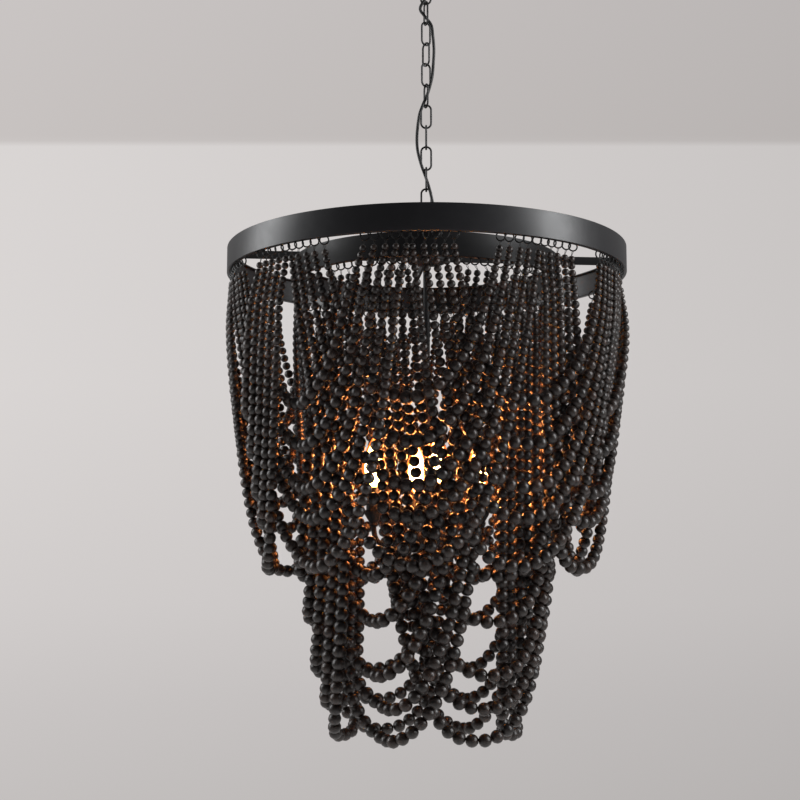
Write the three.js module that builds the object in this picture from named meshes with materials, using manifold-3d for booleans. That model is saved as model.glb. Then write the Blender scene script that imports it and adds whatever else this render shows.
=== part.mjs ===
// Beaded chandelier: two black steel hoops on a chain, hung with nested swags of graduated wooden beads
// round four candle lamps. Millimetres, +Z up, origin on the ceiling at the middle of the canopy.
// Angles round the axis start at the front, -Y, and grow towards +X.
import * as THREE from 'three';
import { mergeVertices } from 'three/addons/utils/BufferGeometryUtils.js';
import Module from 'manifold-3d';

// Fits
const seatGap = 0.3;
const cutOverrun = 1;

// Ceiling fitting
const strapLength = 96;
const strapWidth = 20;
const strapThickness = 2.5;
const strapSlotSpacing = 68;
const strapSlotLength = 14;
const strapSlotWidth = 4.5;
const nippleRadius = 5;
const nippleBoreRadius = 3.5;
const canopyRadius = 60;
const canopyHeight = 25;
const canopySheet = 1.5;
const canopyEdgeRadius = 6;
const ringNutRadius = 11;
const ringNutHeight = 6;
const collarRadius = 10;
const collarHeight = 10;
const collarSocketDepth = 5;
const bailWireRadius = 2;
const bailInnerWidth = 20;
const bailInnerHeight = 32;
const bailSeatWidth = 12;

// Chain
const linkCount = 12;
const linkWireRadius = 1.5;
const linkInnerLength = 33.3;
const linkInnerWidth = 12.2;
const chainTwistDegrees = 38;
const twistedLinkCount = 6;

// Power cable
const cableRadius = 2.3;

// Middle hub
const hubLoopInnerRadius = 8;
const hubLoopWireRadius = 2;
const hubStemRadius = 4;
const hubStemLength = 15.7;
const hubRadius = 28;
const hubHeight = 12;
const hubSheet = 2;
const hubCoverThickness = 2;
const grommetOffset = 16;
const grommetNeckRadius = 4.8;
const grommetFlangeRadius = 6.5;
const grommetFlangeHeight = 2.5;
const grommetDepth = 3;
const terminalLength = 16;
const terminalWidth = 12;
const terminalHeight = 6;
const terminalScrewRadius = 2;
const terminalScrewDepth = 3;

// Hoops and spokes
const outerHoopRadius = 300;
const outerHoopHeight = 38;
const innerHoopRadius = 200;
const innerHoopHeight = 35;
const hoopSheet = 2;
const hoopLipWidth = 8;
const spokeCount = 4;
const spokeAngleDegrees = 5;
const spokeHeight = 12;
const spokeThickness = 4;

// Rod and lamp hub
const rodRadius = 5;
const rodBoreRadius = 3.5;
const lampWiresRadius = 3.1;
const lampHubTopDrop = 422;
const lampHubRadius = 18;
const lampHubHeight = 24;
const lampHubNeckRadius = 9;
const lampHubSocketDepth = 6;
const finialRadius = 8;
const finialStemRadius = 3;
const finialStemLength = 4;

// Lamps
const lampCount = 4;
const lampAngleDegrees = 10;
const lampCircleRadius = 80;
const armRadius = 4;
const armDip = 26;
const cupFootDrop = 415;
const cupFootRadius = 6;
const cupFootDepth = 3;
const cupRadius = 15;
const cupHeight = 24;
const cupWall = 1.6;
const cupSocketDepth = 5;
const sleeveRadius = 11;
const sleeveWall = 1.5;
const sleeveHeight = 38;
const holderRadius = 9.2;
const holderHeight = 34;
const holderFloor = 6;
const bulbCapRadius = 7;
const bulbCapLength = 28.5;
const bulbCapTipRadius = 3;
const bulbCapTipLength = 3;
const bulbNeckRadius = 7.4;
const bulbRadius = 17.5;
const bulbLength = 79;

// Bead strands
const jumpRingDiameter = 12;
const jumpRingWireRadius = 0.7;
const threadLoopLength = 2.5;
const endBeadRadius = 4.9;
const holesPerGroup = 10;
const outerGroupCount = 10;
const outerHoleDegrees = 2.65;
const outerGroupDegrees = -5.3;
const outerMiddleBeadRadius = 8.5;
const outerSwagDrops = [256, 314, 372, 413, 478];
const outerArmShift = 7.8;
const outerArmShiftStep = 1.9;
const outerSwagBow = 0;
const innerGroupCount = 6;
const innerHoleDegrees = 4;
const innerGroupDegrees = -26;
const innerMiddleBeadRadius = 9.2;
const innerSwagDrops = [475, 538, 612, 658, 702];
const innerArmShift = 9.4;
const innerArmShiftStep = 2;
const innerSwagBow = 10;

// How finely round forms are cut
const hoopSegments = 48;
const canopySegments = 24;
const turnedSegments = 16;
const lampSegments = 12;
const linkArcSegments = 6;
const wireSides = 6;
const finialSteps = 5;
const armSteps = 10;
const cableSteps = 56;
const cableSides = 6;
const outerStrandSteps = 8;
const innerStrandSteps = 10;
const strandSides = 4;

// Heights, each worked out from the piece above it
const strapBottom = -strapThickness;
const canopyBottom = -canopyHeight;
const ringNutTop = canopyBottom - seatGap;
const collarTop = ringNutTop - ringNutHeight - seatGap;
const collarBottom = collarTop - collarHeight;
const bailContact = collarBottom - bailInnerHeight;
const chainPitch = linkInnerLength - seatGap;
const hubLoopContact = bailContact - linkCount * chainPitch;
const hubLoopCentre = hubLoopContact + seatGap - hubLoopInnerRadius;
const hubTop = hubLoopCentre - hubLoopInnerRadius - hubLoopWireRadius - hubStemLength;
const hoopTop = hubTop + hoopSheet + seatGap;
const spokeTop = hubTop;
const innerHoopTop = spokeTop - spokeHeight - seatGap;
const outerHoopBottom = hoopTop - outerHoopHeight;
const innerHoopBottom = innerHoopTop - innerHoopHeight;
const hubBottom = hubTop - hubHeight;
const hubCoverTop = hubBottom - seatGap;
const hubCeiling = hubTop - hubSheet;
const rodTop = hubCeiling - seatGap;
const lampHubTop = hoopTop - lampHubTopDrop;
const rodBottom = lampHubTop - lampHubSocketDepth + seatGap;
const lampHubBottom = lampHubTop - lampHubHeight;
const cupFoot = hoopTop - cupFootDrop;
const cupTop = cupFoot + cupHeight;
const sleeveBottom = cupTop - cupSocketDepth + seatGap;
const sleeveTop = sleeveBottom + sleeveHeight;
const holderTop = sleeveBottom + holderHeight;
const holderFloorTop = sleeveBottom + holderFloor;
const bulbCapBottom = holderFloorTop + seatGap;
const bulbBottom = bulbCapBottom + bulbCapLength;

const wasm = await Module();
wasm.setup();

// A point at an angle round the axis, in degrees from the front
function polar(radius, degrees, height) {
  const angle = THREE.MathUtils.degToRad(degrees);
  return new THREE.Vector3(radius * Math.sin(angle), -radius * Math.cos(angle), height);
}

function bareGeometry(geometry) {
  const bare = geometry.index ? geometry.toNonIndexed() : geometry.clone();
  bare.deleteAttribute('normal');
  bare.deleteAttribute('uv');
  return mergeVertices(bare);
}

function signedVolume(geometry) {
  const position = geometry.attributes.position;
  const corners = [0, 1, 2].map(() => new THREE.Vector3());
  let volume = 0;
  for (let i = 0; i < geometry.index.count; i += 3) {
    corners.forEach((corner, j) => corner.fromBufferAttribute(position, geometry.index.getX(i + j)));
    volume += corners[0].dot(corners[1].cross(corners[2])) / 6;
  }
  return volume;
}

// Closed geometry whose faces point out, whichever way its outline ran
function facingOut(geometry) {
  const closed = bareGeometry(geometry);
  if (signedVolume(closed) < 0) {
    closed.setIndex(Array.from(closed.index.array).reverse());
  }
  return closed;
}

// A profile of [radius, height] points turned about the Z axis
function revolve(profile, segments) {
  const points = profile.map(([radius, height]) => new THREE.Vector2(radius, height));
  return facingOut(new THREE.LatheGeometry(points, segments).rotateX(Math.PI / 2));
}

// A tube between two heights, with a bore
function hollowCylinder(radius, boreRadius, bottom, top, segments) {
  const start = [boreRadius, bottom];
  return revolve([start, [radius, bottom], [radius, top], [boreRadius, top], start], segments);
}

function cylinder(radius, bottom, top, segments) {
  return revolve([[0, bottom], [radius, bottom], [radius, top], [0, top]], segments);
}

// A flat outline in XY raised between two heights
function extrude(shape, bottom, top, curveSegments = turnedSegments) {
  const settings = { depth: top - bottom, bevelEnabled: false, curveSegments };
  const geometry = new THREE.ExtrudeGeometry(shape, settings);
  return facingOut(geometry.translate(0, 0, bottom));
}

function rectangle(length, width) {
  return new THREE.Shape([
    new THREE.Vector2(-length / 2, -width / 2),
    new THREE.Vector2(length / 2, -width / 2),
    new THREE.Vector2(length / 2, width / 2),
    new THREE.Vector2(-length / 2, width / 2),
  ]);
}

// Round wire or cord through a list of points, with a radius at each; reference is a direction across it
function sweptTube(points, radii, sides, reference, closed = false) {
  const count = points.length;
  const positions = [];
  points.forEach((point, i) => {
    const before = closed ? points[(i + count - 1) % count] : points[Math.max(i - 1, 0)];
    const after = closed ? points[(i + 1) % count] : points[Math.min(i + 1, count - 1)];
    const tangent = after.clone().sub(before).normalize();
    const across = reference.clone().cross(tangent).normalize();
    const up = tangent.clone().cross(across);
    for (let j = 0; j < sides; j += 1) {
      const angle = (j / sides) * 2 * Math.PI;
      positions.push(...point.clone()
        .addScaledVector(across, radii[i] * Math.cos(angle))
        .addScaledVector(up, radii[i] * Math.sin(angle)).toArray());
    }
  });
  const triangles = [];
  const stretches = closed ? count : count - 1;
  for (let i = 0; i < stretches; i += 1) {
    const near = i * sides;
    const far = ((i + 1) % count) * sides;
    for (let j = 0; j < sides; j += 1) {
      const next = (j + 1) % sides;
      triangles.push(near + j, near + next, far + next, near + j, far + next, far + j);
    }
  }
  if (!closed) {
    const last = (count - 1) * sides;
    for (let j = 1; j < sides - 1; j += 1) {
      triangles.push(0, j + 1, j, last, last + j, last + j + 1);
    }
  }
  const geometry = new THREE.BufferGeometry();
  geometry.setAttribute('position', new THREE.Float32BufferAttribute(positions, 3));
  geometry.setIndex(triangles);
  return geometry;
}

function evenTube(points, radius, sides, reference, closed = false) {
  return sweptTube(points, points.map(() => radius), sides, reference, closed);
}

function toSolid(geometry) {
  const bare = bareGeometry(geometry);
  return new wasm.Manifold(new wasm.Mesh({
    numProp: 3,
    vertProperties: new Float32Array(bare.attributes.position.array),
    triVerts: new Uint32Array(bare.index.array),
  }));
}

function fromSolid(solid) {
  const mesh = solid.getMesh();
  const geometry = new THREE.BufferGeometry();
  geometry.setAttribute('position', new THREE.Float32BufferAttribute(Array.from(mesh.vertProperties), 3));
  geometry.setIndex(Array.from(mesh.triVerts));
  return geometry;
}

function join(geometry, ...others) {
  return fromSolid(others.reduce((solid, other) => solid.add(toSolid(other)), toSolid(geometry)));
}

function cut(geometry, ...tools) {
  return fromSolid(tools.reduce((solid, tool) => solid.subtract(toSolid(tool)), toSolid(geometry)));
}

// The finishes
const finishes = {
  blackSteel: { color: 0x1c1b1d, roughness: 0.45, metalness: 0.3 },
  zincSteel: { color: 0xa7a9ab, roughness: 0.35, metalness: 0.9 },
  blackRubber: { color: 0x141414, roughness: 0.6, metalness: 0 },
  blackPlastic: { color: 0x202022, roughness: 0.5, metalness: 0 },
  darkWood: { color: 0x2a211d, roughness: 0.6, metalness: 0 },
  bulbGlass: { color: 0xffd9a0, roughness: 0.1, metalness: 0 },
};

const chandelier = new THREE.Group();

function add(name, finish, geometry) {
  const mesh = new THREE.Mesh(geometry, new THREE.MeshStandardMaterial(finishes[finish]));
  mesh.name = name;
  chandelier.add(mesh);
  return mesh;
}

// The steel strap that screws to the ceiling
function mountingStrap() {
  const outline = rectangle(strapLength, strapWidth);
  const nippleHole = new THREE.Path().absarc(0, 0, nippleRadius + seatGap, 0, 2 * Math.PI);
  outline.holes.push(nippleHole);
  const slotRadius = strapSlotWidth / 2;
  const slotReach = strapSlotLength / 2 - slotRadius;
  for (const side of [-1, 1]) {
    const middle = side * strapSlotSpacing / 2;
    const slot = new THREE.Path();
    slot.absarc(middle + slotReach, 0, slotRadius, -Math.PI / 2, Math.PI / 2);
    slot.absarc(middle - slotReach, 0, slotRadius, Math.PI / 2, 1.5 * Math.PI);
    slot.closePath();
    outline.holes.push(slot);
  }
  return extrude(outline, strapBottom, 0, turnedSegments / 2);
}

// The canopy is a spun cup with a rolled lower edge and a hole for the nipple
function canopyCup() {
  const holeRadius = nippleRadius + seatGap;
  const outside = new THREE.Path();
  const arcAcross = canopyRadius - canopyEdgeRadius;
  const arcHeight = canopyBottom + canopyEdgeRadius;
  outside.moveTo(holeRadius, canopyBottom);
  outside.lineTo(arcAcross, canopyBottom);
  outside.absarc(arcAcross, arcHeight, canopyEdgeRadius, -Math.PI / 2, 0);
  outside.lineTo(canopyRadius, 0);
  const innerEdgeRadius = canopyEdgeRadius - canopySheet;
  const inside = new THREE.Path();
  inside.moveTo(canopyRadius - canopySheet, 0);
  inside.lineTo(canopyRadius - canopySheet, arcHeight);
  inside.absarc(arcAcross, arcHeight, innerEdgeRadius, 0, -Math.PI / 2, true);
  inside.lineTo(holeRadius, canopyBottom + canopySheet);
  const edgeDivisions = 3;
  const profile = [...outside.getPoints(edgeDivisions), ...inside.getPoints(edgeDivisions)];
  profile.push(profile[0]);
  return revolve(profile.map((point) => [point.x, point.y]), canopySegments);
}

// The loop under the canopy: a bored collar with a wire bail that the chain hangs from
function ceilingLoop() {
  const collar = cylinder(collarRadius, collarBottom, collarTop, turnedSegments);
  const reach = bailInnerWidth / 2 + bailWireRadius;
  const arcCentre = bailContact + reach - bailWireRadius;
  const rootInside = collarBottom + collarHeight / 2;
  const bailPath = new THREE.CurvePath();
  const start = new THREE.Vector3(0, -bailSeatWidth / 2, rootInside);
  const leave = new THREE.Vector3(0, -bailSeatWidth / 2, collarBottom);
  const widest = new THREE.Vector3(0, -reach, arcCentre);
  const bend = (collarBottom - arcCentre) / 2;
  bailPath.add(new THREE.LineCurve3(start, leave));
  bailPath.add(new THREE.CubicBezierCurve3(leave, leave.clone().setZ(leave.z - bend),
    widest.clone().setZ(widest.z + bend), widest));
  const half = [start, ...bailPath.curves[1].getPoints(linkArcSegments)];
  for (let i = 1; i <= linkArcSegments; i += 1) {
    const angle = (i / linkArcSegments) * Math.PI / 2;
    half.push(new THREE.Vector3(0, -reach * Math.cos(angle), arcCentre - reach * Math.sin(angle)));
  }
  const mirrored = half.slice(0, -1).reverse().map((point) => new THREE.Vector3(0, -point.y, point.z));
  const bail = evenTube([...half, ...mirrored], bailWireRadius, wireSides, new THREE.Vector3(1, 0, 0));
  const socket = cylinder(nippleRadius + seatGap, collarTop - collarSocketDepth, collarTop + cutOverrun,
    turnedSegments);
  const bore = cylinder(nippleBoreRadius, collarBottom - cutOverrun, collarTop, turnedSegments);
  return cut(join(collar, bail), socket, bore);
}

function ceilingFitting() {
  add('mounting_strap', 'zincSteel', mountingStrap());
  const nippleBottom = collarTop - collarSocketDepth + seatGap;
  add('threaded_nipple', 'zincSteel',
    hollowCylinder(nippleRadius, nippleBoreRadius, nippleBottom, 0, turnedSegments));
  add('ceiling_canopy', 'blackSteel', canopyCup());
  add('canopy_ring_nut', 'blackSteel', hollowCylinder(ringNutRadius, nippleRadius + seatGap,
    ringNutTop - ringNutHeight, ringNutTop, turnedSegments));
  add('ceiling_loop', 'blackSteel', ceilingLoop());
}

// One oval chain link, standing in the XZ plane before it is turned and hung
function chainLink(index) {
  const arcRadius = linkInnerWidth / 2 + linkWireRadius;
  const straight = linkInnerLength / 2 + linkWireRadius - arcRadius;
  const points = [];
  for (const end of [1, -1]) {
    for (let i = 0; i <= linkArcSegments; i += 1) {
      const angle = (i / linkArcSegments) * Math.PI;
      points.push(new THREE.Vector3(end * arcRadius * Math.cos(angle), 0,
        end * (straight + arcRadius * Math.sin(angle))));
    }
  }
  const link = evenTube(points, linkWireRadius, wireSides, new THREE.Vector3(0, 1, 0), true);
  const fromStraight = Math.max(twistedLinkCount - index, 0) / twistedLinkCount;
  const twist = chainTwistDegrees * Math.sin(Math.PI * fromStraight);
  const turn = THREE.MathUtils.degToRad(twist + 90 * index);
  const centre = bailContact + linkInnerLength / 2 - (index + 1) * chainPitch;
  return facingOut(link.rotateZ(turn).translate(0, 0, centre));
}

function chain() {
  for (let index = 0; index < linkCount; index += 1) {
    add(`chain_link_${String(index + 1).padStart(2, '0')}`, 'blackSteel', chainLink(index));
  }
}

// The cable's route by hand: X, Y and height over the hoops' top edge, from the ceiling down to the hub
const cableRoute = [
  [0, 0, 500.2],
  [0, 0, 480],
  [0, 0, 461],
  [1, -0.8, 451],
  [5.2, -4.3, 434.2],
  [7.4, -7.4, 419],
  [4.6, -8.6, 406],
  [-3, -8.1, 395],
  [-8.9, -5, 382.9],
  [-1.5, -2.6, 371.9],
  [7.9, -2.4, 358.7],
  [10.4, -4.6, 341.9],
  [12.2, -0.2, 322],
  [11.3, -0.2, 298.1],
  [9.1, -4.1, 273.8],
  [2.2, -2.5, 248.1],
  [-5.3, -4.8, 229.1],
  [-9.9, -4.1, 216],
  [-12.8, -0.6, 198.2],
  [-14.2, 0.2, 178.1],
  [-13.2, -1.2, 159.9],
  [-8.4, -5.3, 138],
  [-0.5, -2.7, 115.9],
  [4.9, -4.7, 97.5],
  [9.3, -4.7, 77.1],
  [12.6, -5.3, 54.9],
  [15.2, -3, 32.2],
  [16, 0, 14],
  [16, 0, -7.3],
];

function powerCable() {
  const route = cableRoute.map(([x, y, height]) => new THREE.Vector3(x, y, hoopTop + height));
  const curve = new THREE.CatmullRomCurve3(route, false, 'centripetal');
  return evenTube(curve.getSpacedPoints(cableSteps), cableRadius, cableSides, new THREE.Vector3(0, 1, 0));
}

// The hub is an inverted cup with the spokes welded round it and a hole for the cable grommet
function spokedHub() {
  const cup = revolve([
    [0, hubCeiling], [hubRadius - hubSheet, hubCeiling], [hubRadius - hubSheet, hubBottom],
    [hubRadius, hubBottom], [hubRadius, hubTop], [0, hubTop],
  ], turnedSegments * 2);
  const grommetHole = cylinder(grommetNeckRadius + seatGap, hubCeiling - cutOverrun, hubTop + cutOverrun,
    lampSegments).translate(grommetOffset, 0, 0);
  const start = hubRadius - hubSheet;
  const sagOfHoop = (outerHoopRadius - hoopSheet) * (1 - Math.cos(Math.PI / hoopSegments));
  const end = outerHoopRadius - hoopSheet - sagOfHoop - seatGap;
  const spokes = [];
  for (let i = 0; i < spokeCount; i += 1) {
    spokes.push(extrude(rectangle(end - start, spokeThickness), spokeTop - spokeHeight, spokeTop)
      .translate((start + end) / 2, 0, 0)
      .rotateZ(THREE.MathUtils.degToRad(spokeAngleDegrees - 90 + i * 360 / spokeCount)));
  }
  return cut(join(cup, ...spokes), grommetHole);
}

function hubLoop() {
  const points = [];
  const radius = hubLoopInnerRadius + hubLoopWireRadius;
  const steps = 2 * linkArcSegments;
  for (let i = 0; i < steps; i += 1) {
    const angle = (i / steps) * 2 * Math.PI;
    points.push(new THREE.Vector3(radius * Math.cos(angle), 0, hubLoopCentre + radius * Math.sin(angle)));
  }
  const ring = evenTube(points, hubLoopWireRadius, wireSides, new THREE.Vector3(0, 1, 0), true);
  const stem = cylinder(hubStemRadius, hubTop + seatGap, hubLoopCentre - radius, lampSegments);
  return join(facingOut(ring), stem);
}

function terminalBlock() {
  const blockTop = hubTop - grommetDepth - hubSheet - seatGap;
  const block = extrude(rectangle(terminalLength, terminalWidth), blockTop - terminalHeight, blockTop);
  const screws = [-1, 1].map((side) => cylinder(terminalScrewRadius, blockTop - terminalScrewDepth,
    blockTop + cutOverrun, lampSegments).translate(side * terminalLength / 4, terminalWidth / 4, 0));
  return cut(block, ...screws).translate(grommetOffset, 0, 0);
}

function hub() {
  add('hub_loop', 'blackSteel', hubLoop());
  add('spoked_hub', 'blackSteel', spokedHub());
  add('hub_cover', 'blackSteel', hollowCylinder(hubRadius, rodRadius + seatGap,
    hubCoverTop - hubCoverThickness, hubCoverTop, turnedSegments * 2));
  const bore = cableRadius + seatGap;
  const flangeBottom = hubTop + seatGap;
  const flangeTop = flangeBottom + grommetFlangeHeight;
  const neckBottom = hubCeiling - seatGap;
  add('cable_grommet', 'blackRubber', revolve([
    [bore, neckBottom], [grommetNeckRadius, neckBottom], [grommetNeckRadius, flangeBottom],
    [grommetFlangeRadius, flangeBottom], [grommetFlangeRadius, flangeTop], [bore, flangeTop],
    [bore, neckBottom],
  ], lampSegments).translate(grommetOffset, 0, 0));
  add('hub_terminal_block', 'blackPlastic', terminalBlock());
}

// A steel band with a narrow lip turned in at both edges
function hoop(radius, top, height) {
  const bottom = top - height;
  const inner = radius - hoopSheet;
  const lip = radius - hoopLipWidth;
  return revolve([
    [radius, top], [lip, top], [lip, top - hoopSheet], [inner, top - hoopSheet],
    [inner, bottom + hoopSheet], [lip, bottom + hoopSheet], [lip, bottom], [radius, bottom], [radius, top],
  ], hoopSegments);
}

function hoops() {
  add('outer_hoop', 'blackSteel', hoop(outerHoopRadius, hoopTop, outerHoopHeight));
  add('inner_hoop', 'blackSteel', hoop(innerHoopRadius, innerHoopTop, innerHoopHeight));
}

function rodAndLampHub() {
  add('centre_rod', 'blackSteel', hollowCylinder(rodRadius, rodBoreRadius, rodBottom, rodTop, lampSegments));
  add('lamp_wires', 'blackRubber', cylinder(lampWiresRadius, rodBottom, rodTop - hubSheet, lampSegments));
  const socketRadius = rodRadius + seatGap;
  const socketFloor = lampHubTop - lampHubSocketDepth;
  const shoulder = lampHubTop - lampHubHeight / 4;
  const waist = lampHubBottom + lampHubHeight / 4;
  const profile = [
    [0, socketFloor], [socketRadius, socketFloor], [socketRadius, lampHubTop],
    [lampHubNeckRadius, lampHubTop], [lampHubRadius, shoulder], [lampHubRadius, waist],
    [lampHubNeckRadius, lampHubBottom], [finialStemRadius, lampHubBottom],
  ];
  const ballCentre = lampHubBottom - finialStemLength - finialRadius;
  const stemAngle = Math.asin(finialStemRadius / finialRadius);
  for (let i = 0; i <= finialSteps; i += 1) {
    const angle = stemAngle + (i / finialSteps) * (Math.PI - stemAngle);
    const across = i === finialSteps ? 0 : finialRadius * Math.sin(angle);
    profile.push([across, ballCentre + finialRadius * Math.cos(angle)]);
  }
  add('lamp_hub', 'blackSteel', revolve(profile, turnedSegments));
}

// A lamp arm leaves the lamp hub level, dips and turns up into the foot of its drip cup
function lampArm(degrees) {
  const height = (lampHubTop + lampHubBottom) / 2;
  const end = cupFoot + cupFootDepth;
  const start = polar(lampHubRadius + seatGap, degrees, height);
  const middle = (lampHubRadius + lampCircleRadius) / 2;
  const curve = new THREE.CubicBezierCurve3(start, polar(middle, degrees, height),
    polar(lampCircleRadius, degrees, height - armDip), polar(lampCircleRadius, degrees, end));
  return evenTube(curve.getPoints(armSteps), armRadius, wireSides, polar(1, degrees + 90, 0));
}

function dripCup() {
  const socket = sleeveRadius + seatGap;
  const waist = cupFoot + cupHeight / 3;
  const socketFloor = cupTop - cupSocketDepth;
  return revolve([
    [0, cupFoot], [cupFootRadius, cupFoot], [cupFootRadius + cupWall, waist], [cupRadius, cupTop],
    [socket, cupTop], [socket, socketFloor], [0, socketFloor],
  ], lampSegments);
}

function lampHolder() {
  const bore = bulbCapRadius + seatGap;
  return revolve([
    [0, sleeveBottom], [holderRadius, sleeveBottom], [holderRadius, holderTop], [bore, holderTop],
    [bore, holderFloorTop], [0, holderFloorTop],
  ], lampSegments);
}

// The candle bulb's outline as shares of its radius and length
const bulbShares = [
  [0.5, 0.08], [0.8, 0.2], [1, 0.38], [0.94, 0.54], [0.7, 0.72], [0.36, 0.88], [0.12, 0.97],
];

// A candle bulb: the screw cap with its contact, then the glass
function bulb() {
  return revolve([
    [0, bulbCapBottom], [bulbCapTipRadius, bulbCapBottom], [bulbCapRadius, bulbCapBottom + bulbCapTipLength],
    [bulbCapRadius, bulbBottom], [bulbNeckRadius, bulbBottom],
    ...bulbShares.map(([across, along]) => [across * bulbRadius, bulbBottom + along * bulbLength]),
    [0, bulbBottom + bulbLength],
  ], lampSegments);
}

function lamps() {
  for (let i = 0; i < lampCount; i += 1) {
    const degrees = lampAngleDegrees + i * 360 / lampCount;
    const place = polar(lampCircleRadius, degrees, 0);
    const at = (geometry) => geometry.translate(place.x, place.y, 0);
    add(`lamp_arm_and_cup_${i + 1}`, 'blackSteel', join(at(dripCup()), lampArm(degrees)));
    add(`lamp_holder_${i + 1}`, 'blackPlastic', at(lampHolder()));
    add(`candle_sleeve_${i + 1}`, 'blackSteel', at(hollowCylinder(sleeveRadius, sleeveRadius - sleeveWall,
      sleeveBottom, sleeveTop, lampSegments)));
    add(`bulb_${i + 1}`, 'bulbGlass', at(bulb()));
  }
}

// How sharply a hanging string curves: the ratio u with (cosh u - 1) / u = drop / half width
function catenaryRatio(drop, halfWidth) {
  let low = 0.01;
  let high = 20;
  for (let i = 0; i < 60; i += 1) {
    const middle = (low + high) / 2;
    if ((Math.cosh(middle) - 1) / middle < drop / halfWidth) {
      low = middle;
    } else {
      high = middle;
    }
  }
  return (low + high) / 2;
}

// Points and radii along one strand, from its left end to its right. The tube grows from the strand's
// end beads to its middle beads and thins to a jump ring's wire at each end. The right arm passes
// outside the neighbouring sets' left arms.
function beadStrand({
  radius, centreDegrees, halfDegrees, top, bottom, leftShift, rightShift, bow, middleBeadRadius, steps,
}) {
  const halfWidth = radius * Math.sin(THREE.MathUtils.degToRad(halfDegrees));
  const chordDistance = radius * Math.cos(THREE.MathUtils.degToRad(halfDegrees));
  const ratio = catenaryRatio(top - bottom, halfWidth);
  const scale = halfWidth / ratio;
  const beadEnd = scale * Math.asinh(Math.sinh(ratio) - (jumpRingDiameter + threadLoopLength) / scale);
  const steepest = Math.atan(Math.sinh(beadEnd / scale));
  const places = [-halfWidth];
  for (let i = 0; i <= steps; i += 1) {
    const step = 2 * i / steps - 1;
    places.push((beadEnd * step + scale * Math.asinh(Math.tan(steepest * step))) / 2);
  }
  places.push(halfWidth);
  const outward = polar(1, centreDegrees, 0);
  const sideways = polar(1, centreDegrees + 90, 0);
  return places.map((along, i) => {
    const share = Math.abs(along) / halfWidth;
    const shift = (along > 0 ? rightShift : -leftShift) * (1 - (2 * share - 1) ** 4);
    const height = bottom + scale * (Math.cosh(along / scale) - 1);
    const point = outward.clone().multiplyScalar(chordDistance + shift + bow * (1 - share ** 2))
      .addScaledVector(sideways, along).setZ(height);
    const lengthShare = Math.sinh(Math.abs(along) / scale) / Math.sinh(beadEnd / scale);
    const isEnd = i === 0 || i === places.length - 1;
    const beadRadius = middleBeadRadius + (endBeadRadius - middleBeadRadius) * lengthShare;
    return { point, radius: isEnd ? jumpRingWireRadius : beadRadius };
  });
}

// A set of nested strands centred on one group of holes. It hangs from the near halves of the two
// groups beside that one, so each set crosses the next. At either end the row of jump rings is drawn
// as their wire, so that a set is one unbroken string that runs down one strand and up the next.
function swagSet(centreDegrees, hoop) {
  const groupPitch = 360 / hoop.groupCount;
  const stations = hoop.drops.flatMap((drop, i) => {
    const strand = beadStrand({
      radius: hoop.radius - hoopSheet / 2,
      centreDegrees,
      halfDegrees: groupPitch - (holesPerGroup / 2 - i - 0.5) * hoop.holeDegrees,
      top: hoop.bottom - seatGap - jumpRingWireRadius,
      bottom: hoop.top - drop,
      leftShift: hoop.armShift + hoop.armShiftStep * i,
      rightShift: hoop.armShift + hoop.armShiftStep * (hoop.drops.length - 1 - i),
      bow: hoop.bow,
      middleBeadRadius: hoop.middleBeadRadius,
      steps: hoop.strandSteps,
    });
    return i % 2 ? strand.reverse() : strand;
  });
  return sweptTube(stations.map(({ point }) => point), stations.map(({ radius }) => radius), strandSides,
    polar(1, centreDegrees, 0));
}

function swags(name, hoop, digits) {
  for (let i = 0; i < hoop.groupCount; i += 1) {
    const label = String(i + 1).padStart(digits, '0');
    add(`${name}_${label}`, 'darkWood', swagSet(hoop.firstDegrees + i * 360 / hoop.groupCount, hoop));
  }
}

ceilingFitting();
chain();
add('power_cable', 'blackRubber', powerCable());
hub();
hoops();
rodAndLampHub();
lamps();
swags('outer_swag', {
  groupCount: outerGroupCount,
  holeDegrees: outerHoleDegrees,
  firstDegrees: outerGroupDegrees,
  radius: outerHoopRadius,
  top: hoopTop,
  bottom: outerHoopBottom,
  drops: outerSwagDrops,
  armShift: outerArmShift,
  armShiftStep: outerArmShiftStep,
  bow: outerSwagBow,
  middleBeadRadius: outerMiddleBeadRadius,
  strandSteps: outerStrandSteps,
}, 2);
swags('inner_swag', {
  groupCount: innerGroupCount,
  holeDegrees: innerHoleDegrees,
  firstDegrees: innerGroupDegrees,
  radius: innerHoopRadius,
  top: innerHoopTop,
  bottom: innerHoopBottom,
  drops: innerSwagDrops,
  armShift: innerArmShift,
  armShiftStep: innerArmShiftStep,
  bow: innerSwagBow,
  middleBeadRadius: innerMiddleBeadRadius,
  strandSteps: innerStrandSteps,
}, 1);

export default chandelier;
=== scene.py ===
import math

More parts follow.
